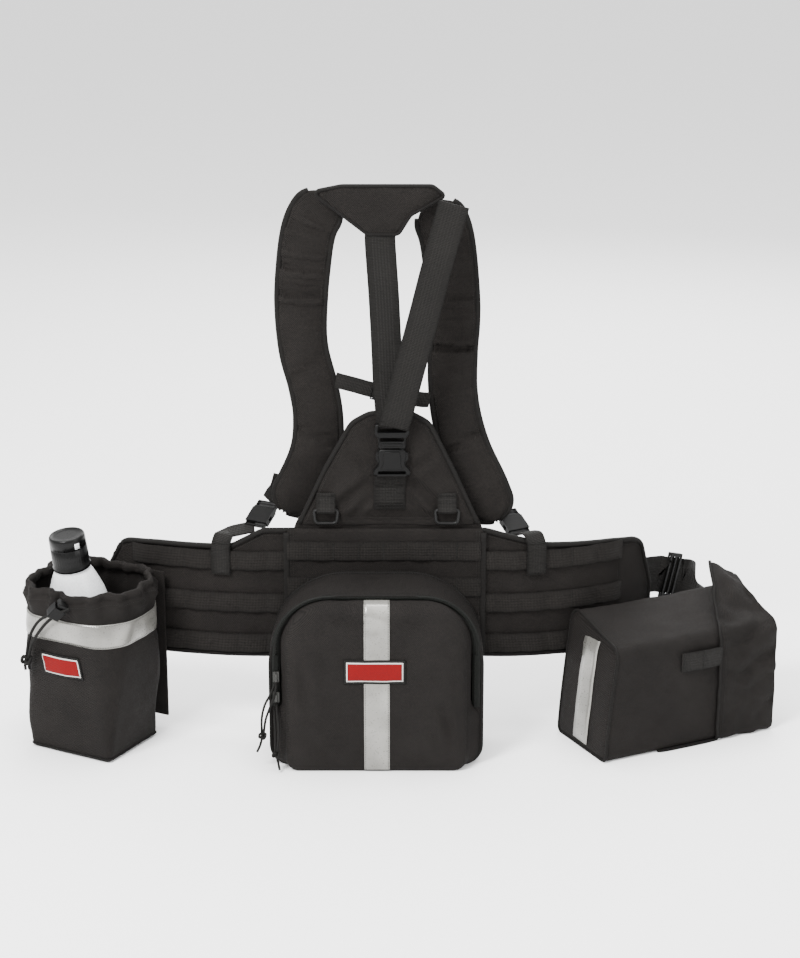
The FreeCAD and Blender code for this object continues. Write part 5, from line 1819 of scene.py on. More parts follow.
    def label(self) -> None:
        """A plain woven patch: a red field in a light stitched border."""
        t0, t1, z0, z1 = self.patch
        columns = [i for i, (t, n) in enumerate(self.section_cache(120.0)) if n > 20 and t0 <= t <= t1]
        columns.sort(key=lambda i: self.section_cache(120.0)[i][0])
        patch_piece("bottle_patch", "belt", lambda u, v, lift: self.across(columns, u, z0 + (z1 - z0) * v, lift),
                    62.0, 29.0, ["bottle_label"])

    def across(self, columns: Sequence[int], u: float, z: float, lift: float) -> Vector:
        """A surface point between columns."""
        run = u * (len(columns) - 1)
        low = min(int(run), len(columns) - 2)
        a = self.skin(columns[low], z, lift)
        b = self.skin(columns[low + 1], z, lift)
        return a.lerp(b, run - low)

    def cords(self) -> None:
        """The cord lock and the drawcord's two strands with their knot."""
        moulded("cord_lock_body", "belt", radius=0.0018)
        moulded("cord_lock_button", "cord_lock_button", radius=0.0014)
        tie = knot("drawcord_knot", "belt", (-452.3, -54.5, 125), (0.15, 0.2, 1), 10.5, ["draw_cord"])
        strands = (
            [(-413.5, -82.6, 195.5), (-424, -78, 190.5), (-434, -72, 181), (-443, -66, 166), (-449, -60, 148),
             (-452.5, -55, 130)],
            [(-411.5, -84.5, 193.3), (-420, -82, 185.5), (-428.5, -77.5, 175), (-437, -71, 162), (-444.5, -64, 147),
             (-450, -56.5, 128)])
        for number, strand in enumerate(strands):
            free_cord(f"drawcord_strand_{number + 1}", "belt", strand, strand[0],
                      diameter=self.cord)
        for number, end in enumerate(((-454.5, -54.5, 121), (-450.0, -53.0, 120.5))):
            free_cord(f"drawcord_end_{number + 1}", "belt", [end, (end[0] - 0.6, end[1], 116), (end[0], end[1], 111.5)],
                      end, declared=False, diameter=self.cord)
        feed = [(-404, -92, 200), (-398, -93, 204), (-391, -91.5, 206)]
        free_cord("drawcord_feed", "belt", feed, feed[0], declared=False, diameter=self.cord)

    def bottle(self) -> None:
        """The squeeze bottle and its flip cap."""
        foot, top = at(-371, 3, 12.5), at(-400, -28, 282)
        axis = (top - foot).normalized()
        length = (top - foot).length / MM
        neck = length - 46.0
        first = axis.orthogonal().normalized()
        second = axis.cross(first)

        def turned(name: str, profile: Sequence[tuple[float, float]], steps: int = 64,
                   ribs: int = 0, rib: float = 0.0, rib_span: tuple[float, float] = (0, 0)) -> bpy.types.Object:
            rings = []
            for radius, height in profile:
                ring = []
                for step in range(steps):
                    a = math.tau * step / steps
                    r = radius
                    if ribs and rib_span[0] < height < rib_span[1]:
                        r += rib * math.cos(a * ribs)
                    ring.append(foot + axis * (height * MM) + (first * math.cos(a) + second * math.sin(a)) * (r * MM))
                rings.append(ring)
            obj = ring_sheet(name, rings, centre=True)
            mesh = bmesh.new()
            mesh.from_mesh(obj.data)
            mesh.verts.ensure_lookup_table()
            loop = [mesh.verts[k] for k in range(steps)]
            mesh.faces.new(loop)
            bmesh.ops.recalc_face_normals(mesh, faces=mesh.faces)
            mesh.to_mesh(obj.data)
            mesh.free()
            return obj

        body = [(30, 0.6), (34, 0), (37, 1.5), (38, 5), (38, 60), (37.4, 66), (37.4, 120), (38, 126), (38, neck - 50),
                (37.4, neck - 43), (35.6, neck - 34), (32.4, neck - 24), (28.6, neck - 14), (25.6, neck - 7),
                (23.4, neck - 3), (22.6, neck - 1.2), (22.6, neck + 0.4), (21.5, neck + 0.8),
                (16, neck + 0.9)]
        dense = [tuple(p[:2]) for p in curve_through([Vector((r, h, 0)) for r, h in body], 3)]
        obj = turned("bottle_shape", dense)
        dress(obj, BOTTLE_PLASTIC)
        settle(obj, "bottle", ["bottle"])
        cap = [(17, neck + 1.3), (23.0, neck + 1.3), (23.8, neck + 1.8), (23.8, neck + 5), (23.2, neck + 6),
               (23.1, neck + 16), (23.0, neck + 29.4), (22.4, neck + 29.9), (22.4, neck + 30.9), (23.0, neck + 31.4),
               (22.8, length - 4), (22.3, length - 1.4), (21.4, length - 0.2), (20.4, length), (19.6, length - 0.9),
               (12, length - 1.1)]
        obj = turned("bottle_cap_shape", cap, 160, 40, 0.22, (neck + 6.5, neck + 28.5))
        dress(obj, CAP_PLASTIC)
        settle(obj, "bottle_cap", ["bottle_cap"])
        toward = (Vector((0.62, -0.78, 0)) - axis * axis.dot(Vector((0.62, -0.78, 0)))).normalized()
        beside = axis.cross(toward)
        rows = []
        for height in (length - 13.5, length - 11, length - 8.5, length - 6.5):
            row = []
            for turn in (-8, -4, 0, 4, 8):
                a = math.radians(turn)
                row.append(foot + axis * (height * MM) + (toward * math.cos(a) + beside * math.sin(a)) * (23.2 * MM))
            rows.append(row)
        window = ring_sheet("bottle_cap_window", rows, closed=False)
        if window.data.polygons[0].normal.dot(toward) < 0:
            window.data.flip_normals()
        window = thickened(window, 0.6 * MM)
        dress(window, BOTTLE_PLASTIC)
        settle(window, "bottle_cap")

    def build(self) -> None:
        """Makes the pouch and all on it."""
        self.bucket()
        self.tape()
        self.label()
        self.cords()
        self.bottle()


def patch_piece(name: str, body: str, surface: Callable[[float, float, float], Vector], width: float, height: float,
                replaces: Sequence[str]) -> None:
    """A plain sewn patch: dark cloth, a light woven border and a red field.

    Args:
        name: start of the pieces' names.
        body: the body it rides on.
        surface: maps (u, v, lift) to the row frame, u and v from 0 to 1.
        width: in mm.
        height: in mm.
        replaces: CAD nodes it stands for.
    """
    def layer(label: str, inset: float, lift: float, thick: float, finish: Finish) -> bpy.types.Object:
        du, dv = inset / width, inset / height
        rows = []
        for row in range(13):
            v = dv + (1 - 2 * dv) * row / 12
            rows.append([surface(du + (1 - 2 * du) * col / 24, v, lift) for col in range(25)])
        obj = ring_sheet(f"{name}_{label}", rows, closed=False)
        toward = surface(0.5, 0.5, lift + 1) - surface(0.5, 0.5, lift)
        if obj.data.polygons[len(obj.data.polygons) // 2].normal.dot(toward) < 0:
            obj.data.flip_normals()
        obj = thickened(obj, thick * MM)
        dress(obj, finish)
        return obj

    base = layer("base", 0.0, 1.5, 0.9, LABEL_PATCH)
    settle(base, body, replaces)
    border = layer("border", 3.0, 1.9, 0.5, WHITE_LABEL)
    settle(border, body)
    field = layer("field", 4.6, 2.2, 0.4, RED_LABEL)
    settle(field, body)
    edge = []
    for (u0, v0), (u1, v1) in (((0, 0), (1, 0)), ((1, 0), (1, 1)), ((1, 1), (0, 1)), ((0, 1), (0, 0))):
        for step in range(12):
            u, v = u0 + (u1 - u0) * step / 12, v0 + (v1 - v0) * step / 12
            du, dv = 1.2 / width, 1.2 / height
            edge.append(surface(du + (1 - 2 * du) * u, dv + (1 - 2 * dv) * v, 1.7))
    edge.append(edge[0].copy())
    stitches(name + "_stitches", body, [edge], GREY_THREAD, 1.8)


# ------------------------------------------------------------------ zip pouch
@dataclass
class ZipPouch:
    """The middle pouch: a deep body, a zip round its front, a soft front panel with tape and patch."""
    x: float = -13.5
    half: float = 132.0
    height: float = 224.0
    back: float = -5.0
    seam: float = -92.0
    front: float = -118.0
    hinge: float = 88.0
    count: int = 176
    stripe: tuple[float, float] = (-28.3, 3.3)
    patch: tuple[float, float, float, float] = (-53.0, 23.0, 120.0, 151.0)
    slider_x: float = -137.5

    def outline(self, half: float, height: float, low: float, high: float, bottom: float = 0.0,
                count: Optional[int] = None) -> list[Vector]:
        """Evenly spaced points of a round-cornered outline, as (x, 0, z) in mm."""
        corners = [(self.x - half, bottom, low), (self.x + half, bottom, low),
                   (self.x + half, height, high), (self.x - half, height, high)]
        loop = [Vector((u, 0, v)) for u, v in rounded_outline(corners, 14)]
        even = resample(loop, 0.8, closed=True)
        start = min(range(len(even)), key=lambda i: abs(even[i].x - self.x) + even[i].z)
        even = even[start:] + even[:start]
        number = count or self.count
        return [even[int(i * len(even) / number)] for i in range(number)]

    def body(self) -> None:
        """The gusset, back and front rim of the main compartment."""
        full = self.outline(self.half, self.height, 26, 92)
        centre = Vector((self.x, 0, 105))
        rings = []
        for y, shrink in ((self.back, 60.0), (self.back, 24.0), (self.back + 0.5, 7.0), (-7.0, 1.5)):
            rings.append([at(*(p + (centre - p).normalized() * shrink + Vector((0, y, 0)))) for p in full])
        steps = 16
        for step in range(1, steps):
            share = step / steps
            y = -7.0 + (self.seam + 2.0 + 7.0) * share
            row = []
            for p in full:
                out = (p - centre).normalized()
                swell = 2.0 * math.sin(math.pi * share) * smoothstep(0, 30, p.z)
                sag = 1.4 * noise.noise(Vector((p.x / 45, y / 26, p.z / 45))) * smoothstep(0.05, 0.3, share) \
                    * smoothstep(0, 24, p.z) * (1.4 - 0.8 * share)
                q = p + out * (swell + sag)
                row.append(at(q.x, y, max(q.z, 0.2)))
            rings.append(row)
        rings.append([at(p.x, self.seam - 0.2, max(p.z, 0.2)) for p in full])
        for shrink, y in ((2.5, -1.4), (7.0, -1.6), (12.0, -1.2)):
            rings.append([at(*(p + (centre - p).normalized() * shrink + Vector((0, self.seam + y, 0)))) for p in full])
        rings.reverse()
        obj = ring_sheet("zip_pouch_body", rings, centre=True)
        face_outwards(obj)
        obj = thickened(obj, 3.0 * MM)
        dress(obj, POUCH_CLOTH)
        settle(obj, "belt", ["zip_pouch"])
        path = [at(*(p + (p - centre).normalized() * -0.6 + Vector((0, self.seam - 0.4, 0)))) for p in full]
        piping = tube("zip_pouch_piping", path, 2.2 * MM, closed=True, sides=10)
        dress(piping, BINDING)
        settle(piping, "belt")
        rear = [at(*(p + (p - centre).normalized() * -0.5 + Vector((0, self.back - 1.8, 0)))) for p in full]
        second = tube("zip_pouch_rear_piping", rear, 1.9 * MM, closed=True, sides=8)
        dress(second, BINDING)
        settle(second, "belt")
        lines = []
        for y in (self.seam + 7.0, self.back - 8.0):
            lines.append([at(*(p + (p - centre).normalized() * 1.0 + Vector((0, y, 0)))) for p in full if p.z > 30])
        lines = [self.opened(line) for line in lines]
        stitches("zip_pouch_seams", "belt", lines)

    @staticmethod
    def opened(line: list[Vector]) -> list[Vector]:
        """Starts a filtered closed line after its longest gap."""
        start = max(range(len(line)), key=lambda i: (line[i] - line[i - 1]).length)
        return line[start:] + line[:start]

    @staticmethod
    def round_off(inset: float, z: float) -> float:
        """How far the face falls back at an inset from its outline; less along the bottom edge."""
        reach = 15.0
        share = 1 - min(inset / reach, 1.0)
        return 11.0 * (1 - math.sqrt(max(1 - share * share, 0.0))) * (0.35 + 0.65 * smoothstep(4, 40, z))

    def depth(self, x: float, z: float) -> float:
        """How far the front cloth stands out from the flat front, in mm, folds included."""
        u, v = (x - self.x) / 111.0, (z - 108.0) / 112.0
        dome = 4.6 * max(0.0, 1 - 0.9 * u * u) * max(0.0, 1 - 0.8 * v * v)
        here = Vector((x, 0, z))
        folds = ((-74, 205, -16, 192, 8, 4.4), (-60, 186, -24, 182, 7, 2.6), (8, 200, 58, 194, 8, 2.4),
                 (-106, 150, -98, 72, 9, 3.0), (72, 84, 84, 22, 8, 5.0), (60, 60, 74, 14, 8, 2.8),
                 (84, 130, 92, 84, 9, 1.6), (-104, 50, -72, 16, 9, 2.2), (-92, 176, -62, 196, 9, 1.6),
                 (62, 178, 86, 150, 9, 1.6), (-96, 100, -60, 92, 10, 1.1), (8, 22, 60, 14, 8, 1.4))
        lift = sum(crease(here, Vector((a, 0, b)), Vector((c, 0, d)), width, deep)
                   for a, b, c, d, width, deep in folds)
        lift += 2.2 * noise.noise(Vector((x / 38, 2.0, z / 30))) + 0.5 * noise.noise(Vector((x / 15, 5.0, z / 13)))
        return dome + lift

    def face(self, x: float, z: float, lift: float = 0.0) -> Vector:
        """A point of the finished front cloth."""
        return at(x, self.front - self.depth(x, z) - lift, z)

    def panel(self) -> None:
        """Front side walls and the domed face, one skin."""
        rear = self.outline(118, 218, 20, 60, 0.3)
        for p in rear:
            p.x += math.copysign(12.5, p.x - self.x) * (1 - smoothstep(66, 86, p.z)) * smoothstep(60, 100, abs(p.x - self.x))
        fore = self.outline(112, 219, 16, 56, 0.3)
        centre = Vector((self.x, 0, 108))
        rings = []
        for share, y in ((0.0, self.seam - 0.2), (0.25, -95), (0.5, -99), (0.8, -103.5)):
            row = []
            for a, b in zip(rear, fore):
                p = a.lerp(b, share)
                out = (p - centre).normalized()
                swell = 1.5 * math.sin(math.pi * share) + 0.7 * noise.noise(Vector((p.x / 22, y / 14, p.z / 22)))
                q = p + out * swell * smoothstep(0, 20, p.z)
                row.append(at(q.x, y, max(q.z, 0.3)))
            rings.append(row)
        for shrink in (0.0, 0.8, 2.0, 3.6, 5.6, 8.0, 11.0, 14.0, 17.5, 21.5, 26, 31, 36, 41, 46, 51, 56, 61, 66, 71,
                       76, 81, 86, 91, 96, 100, 104):
            row = []
            for p in fore:
                reach = (centre - p).length
                q = p + (centre - p).normalized() * min(shrink * (reach / 111.0), reach * 0.985)
                y = self.front + self.round_off(shrink, p.z) - self.depth(q.x, q.z) * smoothstep(0, 24, shrink)
                row.append(at(q.x, y, q.z))
            rings.append(row)
        obj = ring_sheet("zip_front_cloth", rings, centre=True)
        face_outwards(obj)
        obj = thickened(obj, 2.4 * MM)
        dress(obj, POUCH_CLOTH)
        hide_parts("zip_panel")
        at(self.x, self.front, 78)
        at(self.x, self.front, 98)
        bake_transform(obj)

    def tape(self) -> None:
        """The reflective tape down the middle, sewn along both edges."""
        x0, x1 = self.stripe
        profile = [2.5, 4.5, 9, 15, 22, 30] + [30 + 5.5 * k for k in range(1, 32)] + [204, 208, 212, 215, 217, 218.4, 219]
        rows = []
        for z in profile:
            rows.append([self.tape_point(x0 + (x1 - x0) * col / 8, z, 0.9) for col in range(9)])
        for y, z in ((-103.5, 220.6), (-99.0, 220.6), (-95.0, 219.6)):
            rows.append([at(x0 + (x1 - x0) * col / 8, y, z) for col in range(9)])
        obj = ring_sheet("zip_reflective_tape", rows, closed=False)
        if obj.data.polygons[40].normal.y > 0:
            obj.data.flip_normals()
        obj = thickened(obj, 0.5 * MM)
        dress(obj, SILVER)
        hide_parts("zip_stripe_upper")
        at(self.x, self.front, 78)
        at(self.x, self.front, 98)
        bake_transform(obj)
        lines = []
        for x in (x0 + 1.6, x1 - 1.6):
            lines.append([self.tape_point(x, z, 1.2) for z in profile])
        seam = repeated("zip_tape_stitches", Repeat.STITCH, lines, GREY_THREAD.material(), 3.2 * MM, 2.2 * MM, 0.6 * MM)
        at(self.x, self.front, 78)
        at(self.x, self.front, 98)
        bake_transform(seam)

    def tape_point(self, x: float, z: float, lift: float) -> Vector:
        """A tape point, laid on the rounded top and bottom of the front."""
        inset = min(z, 219.0 - z)
        edge = smoothstep(0, 24, inset)
        back_off = self.round_off(inset, z)
        rise = lift if z > 216 else 0.0
        return at(x, self.front + back_off - self.depth(x, z) * edge - lift, z + rise)

    def zipper(self) -> None:
        """Zip tape, coil and both sliders."""
        outer = self.outline(129.5, 224.4, 30, 71.5, 0.0, 240)
        inner = self.outline(118.8, 219.0, 34, 61, 0.0, 240)
        tops = [i for i in range(240) if outer[i].z > 76 and inner[i].z > 70]
        start = next(i for i in tops if i - 1 not in tops)
        order = [(start + k) % 240 for k in range(len(tops))]
        rows = []
        for share, y in ((0.0, -2.1), (0.3, -2.5), (0.45, -3.2), (0.55, -3.2), (0.7, -2.5), (1.0, -2.1)):
            rows.append([at(*(inner[i].lerp(outer[i], share) + Vector((0, self.seam + y, 0)))) for i in order])
        obj = ring_sheet("zip_tape_band", rows, closed=False)
        if obj.data.polygons[len(obj.data.polygons) // 2].normal.y > 0:
            obj.data.flip_normals()
        obj = thickened(obj, 1.2 * MM)
        dress(obj, ZIP_TAPE)
        settle(obj, "belt", ["zip_coil"])
        line = [at(*(inner[i].lerp(outer[i], 0.5) + Vector((0, self.seam - 3.9, 0)))) for i in order]
        coil = repeated("zip_coil_teeth", Repeat.TOOTH, [line], ZIP_COIL.material(), 1.55 * MM, 0.95 * MM, 4.6 * MM,
                        1.5 * MM)
        settle(coil, "belt")
        for name in ("upper", "lower"):
            moulded("zip_slider_" + name, "zip_slider_" + name, SLIDER_METAL, 0.0009)

    def pulls(self) -> None:
        """Two looped pull cords, each knotted with a short end."""
        routes = {
            "upper": (([(-138.4, -100.6, 112), (-144, -104, 99), (-151.5, -106, 85), (-155.5, -107, 68),
                        (-155.8, -107.5, 49)],
                       [(-137, -103.6, 111), (-139.5, -107, 97), (-145, -109.5, 83), (-150.5, -110, 67),
                        (-153.2, -110, 49)]), (-154.5, -108.6, 45),
                      [(-155.5, -108.6, 42), (-158, -108.4, 32), (-162, -108, 23)], (-138.0, -99.6, 114)),
            "lower": (([(-138.4, -100.6, 85), (-139.8, -105, 73), (-139, -109.5, 60), (-138.4, -112.6, 45),
                        (-138.6, -115.4, 27)],
                       [(-137.2, -103.8, 84), (-136.2, -108.5, 72), (-134.6, -113, 59), (-134.8, -116, 44),
                        (-136.6, -117, 27)]), (-137.6, -116.2, 22.5),
                      [(-137, -116.5, 19.5), (-135.2, -117.4, 11), (-133.6, -119.5, 3.2)], (-138.0, -99.6, 87))}
        for name, (strands, centre, tail, loop_at) in routes.items():
            body = "zip_slider_" + name
            tie = knot(f"pull_{name}_knot", body, centre, (0.1, 0.1, 1), 7.4, ["pull_cord_" + name])
            end = free_cord(f"pull_{name}_end", body, tail, tail[0], declared=False)
            top_a, top_b = strands[0][0], strands[1][0]
            turn = [(top_a[0], top_a[1] + 0.0, top_a[2]), (loop_at[0], loop_at[1] + 0.4, loop_at[2]),
                    (top_b[0] + 0.3, top_b[1], top_b[2])]
            bend = free_cord(f"pull_{name}_bend", body, turn, turn[0], declared=False)
            for number, strand in enumerate(strands):
                free_cord(f"pull_{name}_strand_{number + 1}", body, strand, strand[0])

    def build(self) -> None:
        """Makes the pouch and all on it."""
        self.body()
        self.panel()
        self.tape()
        self.zipper()
        self.pulls()
        x0, x1, z0, z1 = self.patch
        patch_piece("zip_patch", "zip_panel",
                    lambda u, v, lift: self.face(x0 + (x1 - x0) * u, z0 + (z1 - z0) * v, lift), 76.0, 31.0,
                    ["zip_label"])


@dataclass
class SidePouch:
    """A long boxy pouch with a hood over its outer end."""
    corner: tuple[float, float] = (273.0, -94.0)
    turn: float = 26.3
    length: float = 250.0
    depth: float = 118.0
    height: float = 148.0
    rise: float = 24.0
    hood_from: float = 166.0

    def place(self, x: float, y: float, z: float) -> Vector:
        """Row-frame point of the pouch's own coordinates in mm."""
        angle = math.radians(self.turn)
        return at(self.corner[0] + x * math.cos(angle) - y * math.sin(angle),
                  self.corner[1] + x * math.sin(angle) + y * math.cos(angle), z)

    def section(self, grow: float = 0.0, count: int = 132) -> list[Vector]:
        """Evenly spaced points (0, y, z) of the cross section."""
        corners = [(-grow, 0 - min(grow, 0), 9), (self.depth + grow, 0 - min(grow, 0), 9),
                   (self.depth + grow, self.height + self.rise + grow, 15), (-grow, self.height + grow, 17)]
        loop = [Vector((0, u, v)) for u, v in rounded_outline(corners, 10)]
        even = resample(loop, 0.8, closed=True)
        return [even[int(i * len(even) / count)] for i in range(count)]

    def soft(self, x: float, point: Vector, centre: Vector, lift: float = 0.0) -> Vector:
        """A point of the softened skin at x along the pouch."""
        out = (point - centre).normalized()
        flat = min(abs(out.y), abs(out.z)) * 1.3
        belly = 1.8 * math.sin(math.pi * min(max(x / self.length, 0), 1)) * (1 - flat)
        wave = 1.6 * noise.noise(Vector((x / 46, point.y / 34, point.z / 34)) + Vector((3, 1, 8)))
        wave += 0.7 * noise.noise(Vector((x / 17, point.y / 15, point.z / 15)))
        top_sag = 2.6 * math.sin(math.pi * min(max(x / self.length, 0), 1)) * smoothstep(0.5, 0.95, out.z)
        base = smoothstep(1, 24, point.z)
        grow = (belly + wave - top_sag) * base + lift
        q = point + out * grow
        return Vector((x, q.y, max(q.z, 0.2)))

    def lean(self, z: float) -> float:
        """How far the end face leans in at a height."""
        return 15.0 * (z / self.height) ** 1.3

    def shell(self) -> None:
        """The cloth box, open at its hooded end."""
        section = self.section()
        centre = Vector((0, self.depth / 2, 78))
        rings = []
        for shrink, x in ((1.5, 1.2), (5.5, -0.2), (14, -0.9), (26, -1.4), (38, -1.7), (50, -1.9)):
            row = []
            for p in section:
                reach = (centre - p).length
                q = p + (centre - p).normalized() * min(shrink * reach / 60, reach * 0.98)
                bump = 1.2 * noise.noise(Vector((4, q.y / 26, q.z / 26))) * smoothstep(0, 14, shrink)
                row.append(self.place(x - bump + self.lean(q.z), q.y, q.z))
            rings.append(row)
        rings.reverse()
        for step in range(42):
            share = step / 41
            x = 3.0 + (self.length - 3.0) * share
            row = []
            for p in section:
                q = self.soft(x, p, centre)
                shift = self.lean(p.z) * (1 - smoothstep(0, 0.35, share))
                row.append(self.place(x + shift, q.y, q.z))
            rings.append(row)
        rings = [rings[-1 - k] for k in range(len(rings))]
        obj = ring_sheet("side_pouch_body", rings, centre=True)
        face_outwards(obj)
        obj = thickened(obj, 2.6 * MM)
        dress(obj, POUCH_CLOTH)
        settle(obj, "belt", ["shelter_pouch"])
        path = []
        for p in section:
            q = p + (centre - p).normalized() * 0.8
            path.append(self.place(1.2 + self.lean(p.z), q.y, max(q.z, 1.2)))
        piping = tube("side_pouch_piping", path, 1.9 * MM, closed=True, sides=8)
        dress(piping, BINDING)
        settle(piping, "belt")

    @staticmethod
    def raised(y: float, share: float) -> float:
        """How far the hood stands above the box at a depth, from its open edge (share 0) to its end."""
        return (34.0 * (1 - share) + 13.0 * share) * smoothstep(14, 108, y)

    def hood(self) -> None:
        """The hood over the outer end, with its raised rear corner and bound edge."""
        centre = Vector((0, self.depth / 2, 78))
        loop = [p for p in self.section(2.9, 200)]
        front = [p for p in loop if p.y < 103.6 and (p.z > 1.0)]
        front = [p for p in front if not (p.z < 12 and p.y > 9)]
        front.sort(key=lambda p: math.atan2(p.z - 40, -(p.y - 60)) if p.z >= 0 else 0)
        path = resample(front, 2.6)
        count = len(path)
        rows = []
        stations = [self.hood_from + (250.0 - self.hood_from) * k / 20 for k in range(21)]
        for x in stations:
            row = []
            share = (x - self.hood_from) / (250.0 - self.hood_from)
            for number, p in enumerate(path):
                skew = 50.0 * (max(p.y, 0.0) / 103.0) * (1 - share) if p.z > 60 else 0.0
                run = x + skew
                q = self.soft(run, p, centre, 0.3)
                raise_by = 0.0
                if p.z > 120:
                    raise_by = self.raised(p.y, share)
                    raise_by -= 3.0 * math.exp(-((p.y - 40) / 14) ** 2) * math.sin(math.pi * share)
                fold = 4.4 * noise.noise(Vector((run / 19, p.y / 24, p.z / 16)))
                fold += 2.8 * math.sin((p.z - 0.5 * run) / 7.0) * smoothstep(60, 110, p.z) * smoothstep(0.1, 0.6, share)
                out = (p - centre).normalized() * fold * smoothstep(0.0, 0.2, share)
                ripple = 1.6 * noise.noise(Vector((p.y / 20, p.z / 20, 3))) * (1 - smoothstep(0, 0.3, share))
                row.append(self.place(run + ripple, q.y + out.y, max(q.z + out.z, 1.2) + raise_by))
            rows.append(row)
        for x, inset in ((251.8, 0.4), (252.8, 2.4)):
            row = []
            for p in path:
                q = self.soft(250.0, p, centre, 0.3)
                q = q + (centre - p).normalized() * inset
                row.append(self.place(x, q.y, max(q.z, 1.2) + (self.raised(p.y, 1.0) if p.z > 120 else 0.0)))
            rows.append(row)
        for step in range(1, 11):
            share = step / 10
            row = []
            for number, p in enumerate(path):
                q = self.soft(250.0, p, centre, 0.3) + (centre - p).normalized() * 2.4
                q.z += self.raised(p.y, 1.0) if p.z > 120 else 0.0
                goal = Vector((0, 117.0, 1.2 + 160.0 * number / (count - 1)))
                m = Vector((0, q.y, q.z)).lerp(goal, share)
                swell = (3.0 + 7.0 * smoothstep(80, 160, m.z)) * math.sin(math.pi * min(share * 1.4, 1.0)) ** 0.7
                swell += 2.4 * noise.noise(Vector((9, m.y / 25, m.z / 18)))
                row.append(self.place(253.0 + swell, m.y, max(m.z, 1.2)))
            rows.append(row)
        obj = ring_sheet("side_pouch_hood", rows, closed=False)
        middle = len(obj.data.polygons) // 3
        outward = obj.data.polygons[middle].center - self.place(210, 60, 78)
        if obj.data.polygons[middle].normal.dot(outward) < 0:
            obj.data.flip_normals()
        area = sum(face.area for face in obj.data.polygons)
        obj = thickened(obj, 2.2 * MM)
        dress(obj, POUCH_CLOTH)
        LOG.info("hood cloth covers %.4f square metres", area)
        settle(obj, "shelter_flap", ["shelter_flap"])
        edge = tube("hood_binding", rows[0], 2.0 * MM, sides=8)
        dress(edge, BINDING)
        settle(edge, "shelter_flap")
        seam = [(a + b) / 2 + (a - self.place(200, 60, 78)).normalized() * 1.2 * MM for a, b in zip(rows[2], rows[2])]
        stitches("hood_seam", "shelter_flap", [seam])

    def details(self) -> None:
        """End tape, webbing loop, under strap and their stitches."""
        rows = []
        for step in range(20):
            z = 10 + (self.height + 2 - 10) * step / 19
            bump = [1.2 * noise.noise(Vector((4, y / 26, z / 26))) for y in (42, 50.5, 59, 67.5, 76)]
            rows.append([self.place(-2.4 - b - 0.3 + self.lean(z) + 3.2 * smoothstep(135, 152, z), y, z)
                         for b, y in zip(bump, (42, 50.5, 59, 67.5, 76))])
        for x, z in ((19.5, 153.5), (24.0, 156.4), (30.0, 157.4)):
            rows.append([self.place(x, y, z + (y - 59) * 0.13) for y in (42, 50.5, 59, 67.5, 76)])
        tape = ring_sheet("side_reflective_tape", rows, closed=False)
        if (tape.data.polygons[20].normal.dot(self.place(-10, 59, 60) - self.place(0, 59, 60))) < 0:
            tape.data.flip_normals()
        tape = thickened(tape, 0.5 * MM)
        dress(tape, SILVER)
        settle(tape, "belt", ["reflective_tapes"])
        angle = math.radians(self.turn)
        along = Vector((math.cos(angle), math.sin(angle), 0))
        path = []
        for step in range(14):
            x = 108 + 60 * step / 13
            lift = 2.0 * math.sin(math.pi * min(max((x - 112) / 54, 0), 1)) ** 0.6
            path.append(self.place(x, -3.4 - lift, 118))
        loop = sweep("side_pouch_loop", path, UP, 25.5 * MM, 1.9 * MM)
        dress(loop, WEBBING)
        settle(loop, "belt", ["shelter_webbing"])
        lines = []
        for x in (110.5, 139.0):
            deep = -5.0 if x < 130.0 else -7.2
            lines.append([self.place(x, deep, 107), self.place(x, deep, 129)])
        bar_tacks("side_loop_tacks", "belt", lines)
        under = [self.place(80, 4.5, 1.4), self.place(86, 2.6, 1.4), self.place(100, 1.8, 1.4),
                 self.place(128, 1.6, 1.4), self.place(150, 1.8, 1.4), self.place(168, 3.0, 1.4)]
        belt = sweep("side_under_strap", curve_through(under, 6), along.cross(UP), 10 * MM, 2.0 * MM)
        dress(belt, WEBBING)
        settle(belt, "belt")

    def build(self) -> None:
        """Makes the pouch and all on it."""
        self.shell()
        self.hood()
        self.details()


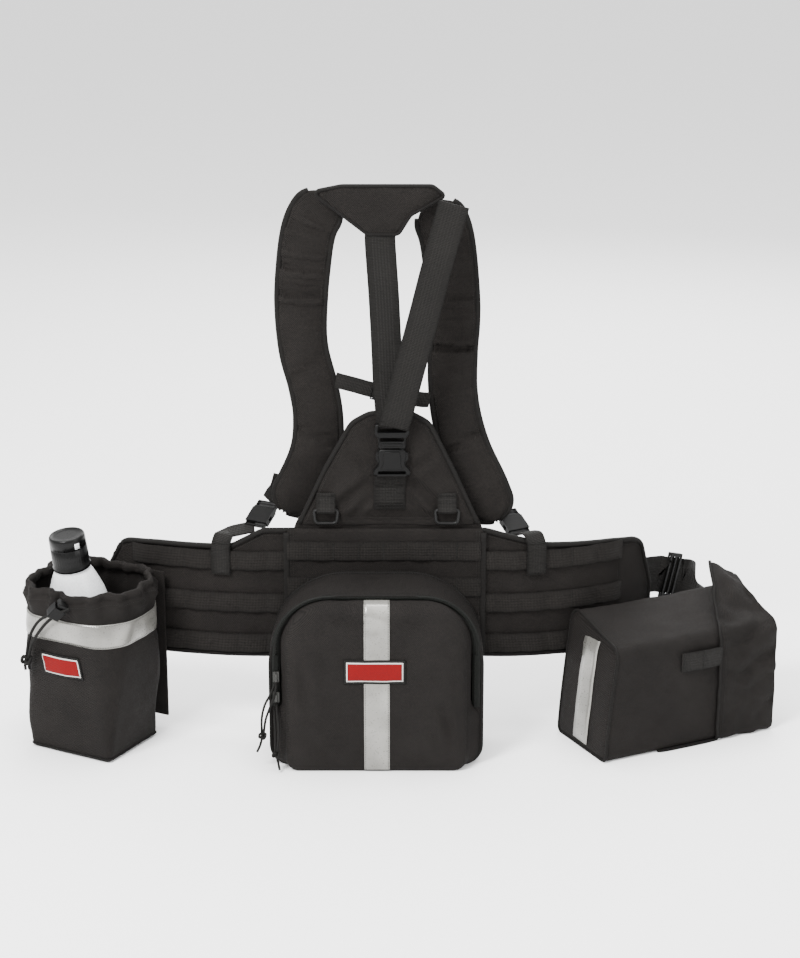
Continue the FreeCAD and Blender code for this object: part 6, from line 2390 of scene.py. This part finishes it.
# ------------------------------------------------------------------ camera, light and assembly
@dataclass
class Studio:
    """White floor, white surroundings, soft lights and the main camera."""
    eye: Vector = Vector((-0.0062, -2.7235, 1.1640))
    tilt: float = 17.0
    lens: float = 84.17

    def build(self) -> None:
        """Makes them all."""
        scene = bpy.context.scene
        camera = bpy.data.cameras.new("main_camera")
        camera.lens = self.lens
        camera.sensor_width = 36.0
        holder = bpy.data.objects.new("main_camera", camera)
        holder.location = self.eye
        holder.rotation_euler = (math.radians(90 - self.tilt), 0, 0)
        scene.collection.objects.link(holder)
        scene.camera = holder
        world = bpy.data.worlds.new("surroundings")
        world.use_nodes = True
        world.node_tree.nodes["Background"].inputs["Color"].default_value = (1.0, 1.0, 1.0, 1)
        world.node_tree.nodes["Background"].inputs["Strength"].default_value = 1.7
        scene.world = world
        size = 40.0
        floor = new_object("studio_floor", [Vector((-size, -size, 0)), Vector((size, -size, 0)),
                                            Vector((size, size, 0)), Vector((-size, size, 0))], [(0, 1, 2, 3)])
        paper = bpy.data.materials.new("studio_paper")
        paper.use_nodes = True
        shader = paper.node_tree.nodes["Principled BSDF"]
        shader.inputs["Base Color"].default_value = (0.93, 0.93, 0.93, 1)
        shader.inputs["Roughness"].default_value = 0.9
        floor.data.materials.append(paper)
        for name, place, power, width in (
                ("key_light", (-1.5, -2.0, 2.7), 240, 1.0), ("fill_light", (2.3, -1.8, 1.6), 40, 1.4),
                ("top_light", (0.1, 0.3, 3.0), 120, 2.0), ("rear_light", (0.6, 2.4, 1.8), 60, 1.8)):
            lamp = bpy.data.lights.new(name, "AREA")
            lamp.energy = power
            lamp.size = width
            stand = bpy.data.objects.new(name, lamp)
            stand.location = place
            stand.rotation_euler = (Vector((0, 0, 0.3)) - Vector(place)).to_track_quat("-Z", "Y").to_euler()
            scene.collection.objects.link(stand)


def main() -> None:
    """Builds the whole scene."""
    logging.basicConfig(level=logging.INFO, format="%(name)s: %(message)s")
    Studio().build()
    for part in (HipWings(), LumbarPanel(), WaistStrap(), SideBuckles(), BackPlate(), ShoulderStraps(),
                 HarnessStraps(), BottlePouch(), ZipPouch(), SidePouch()):
        LOG.info("building %s", type(part).__name__)
        part.build()


if __name__ == "__main__":
    main()
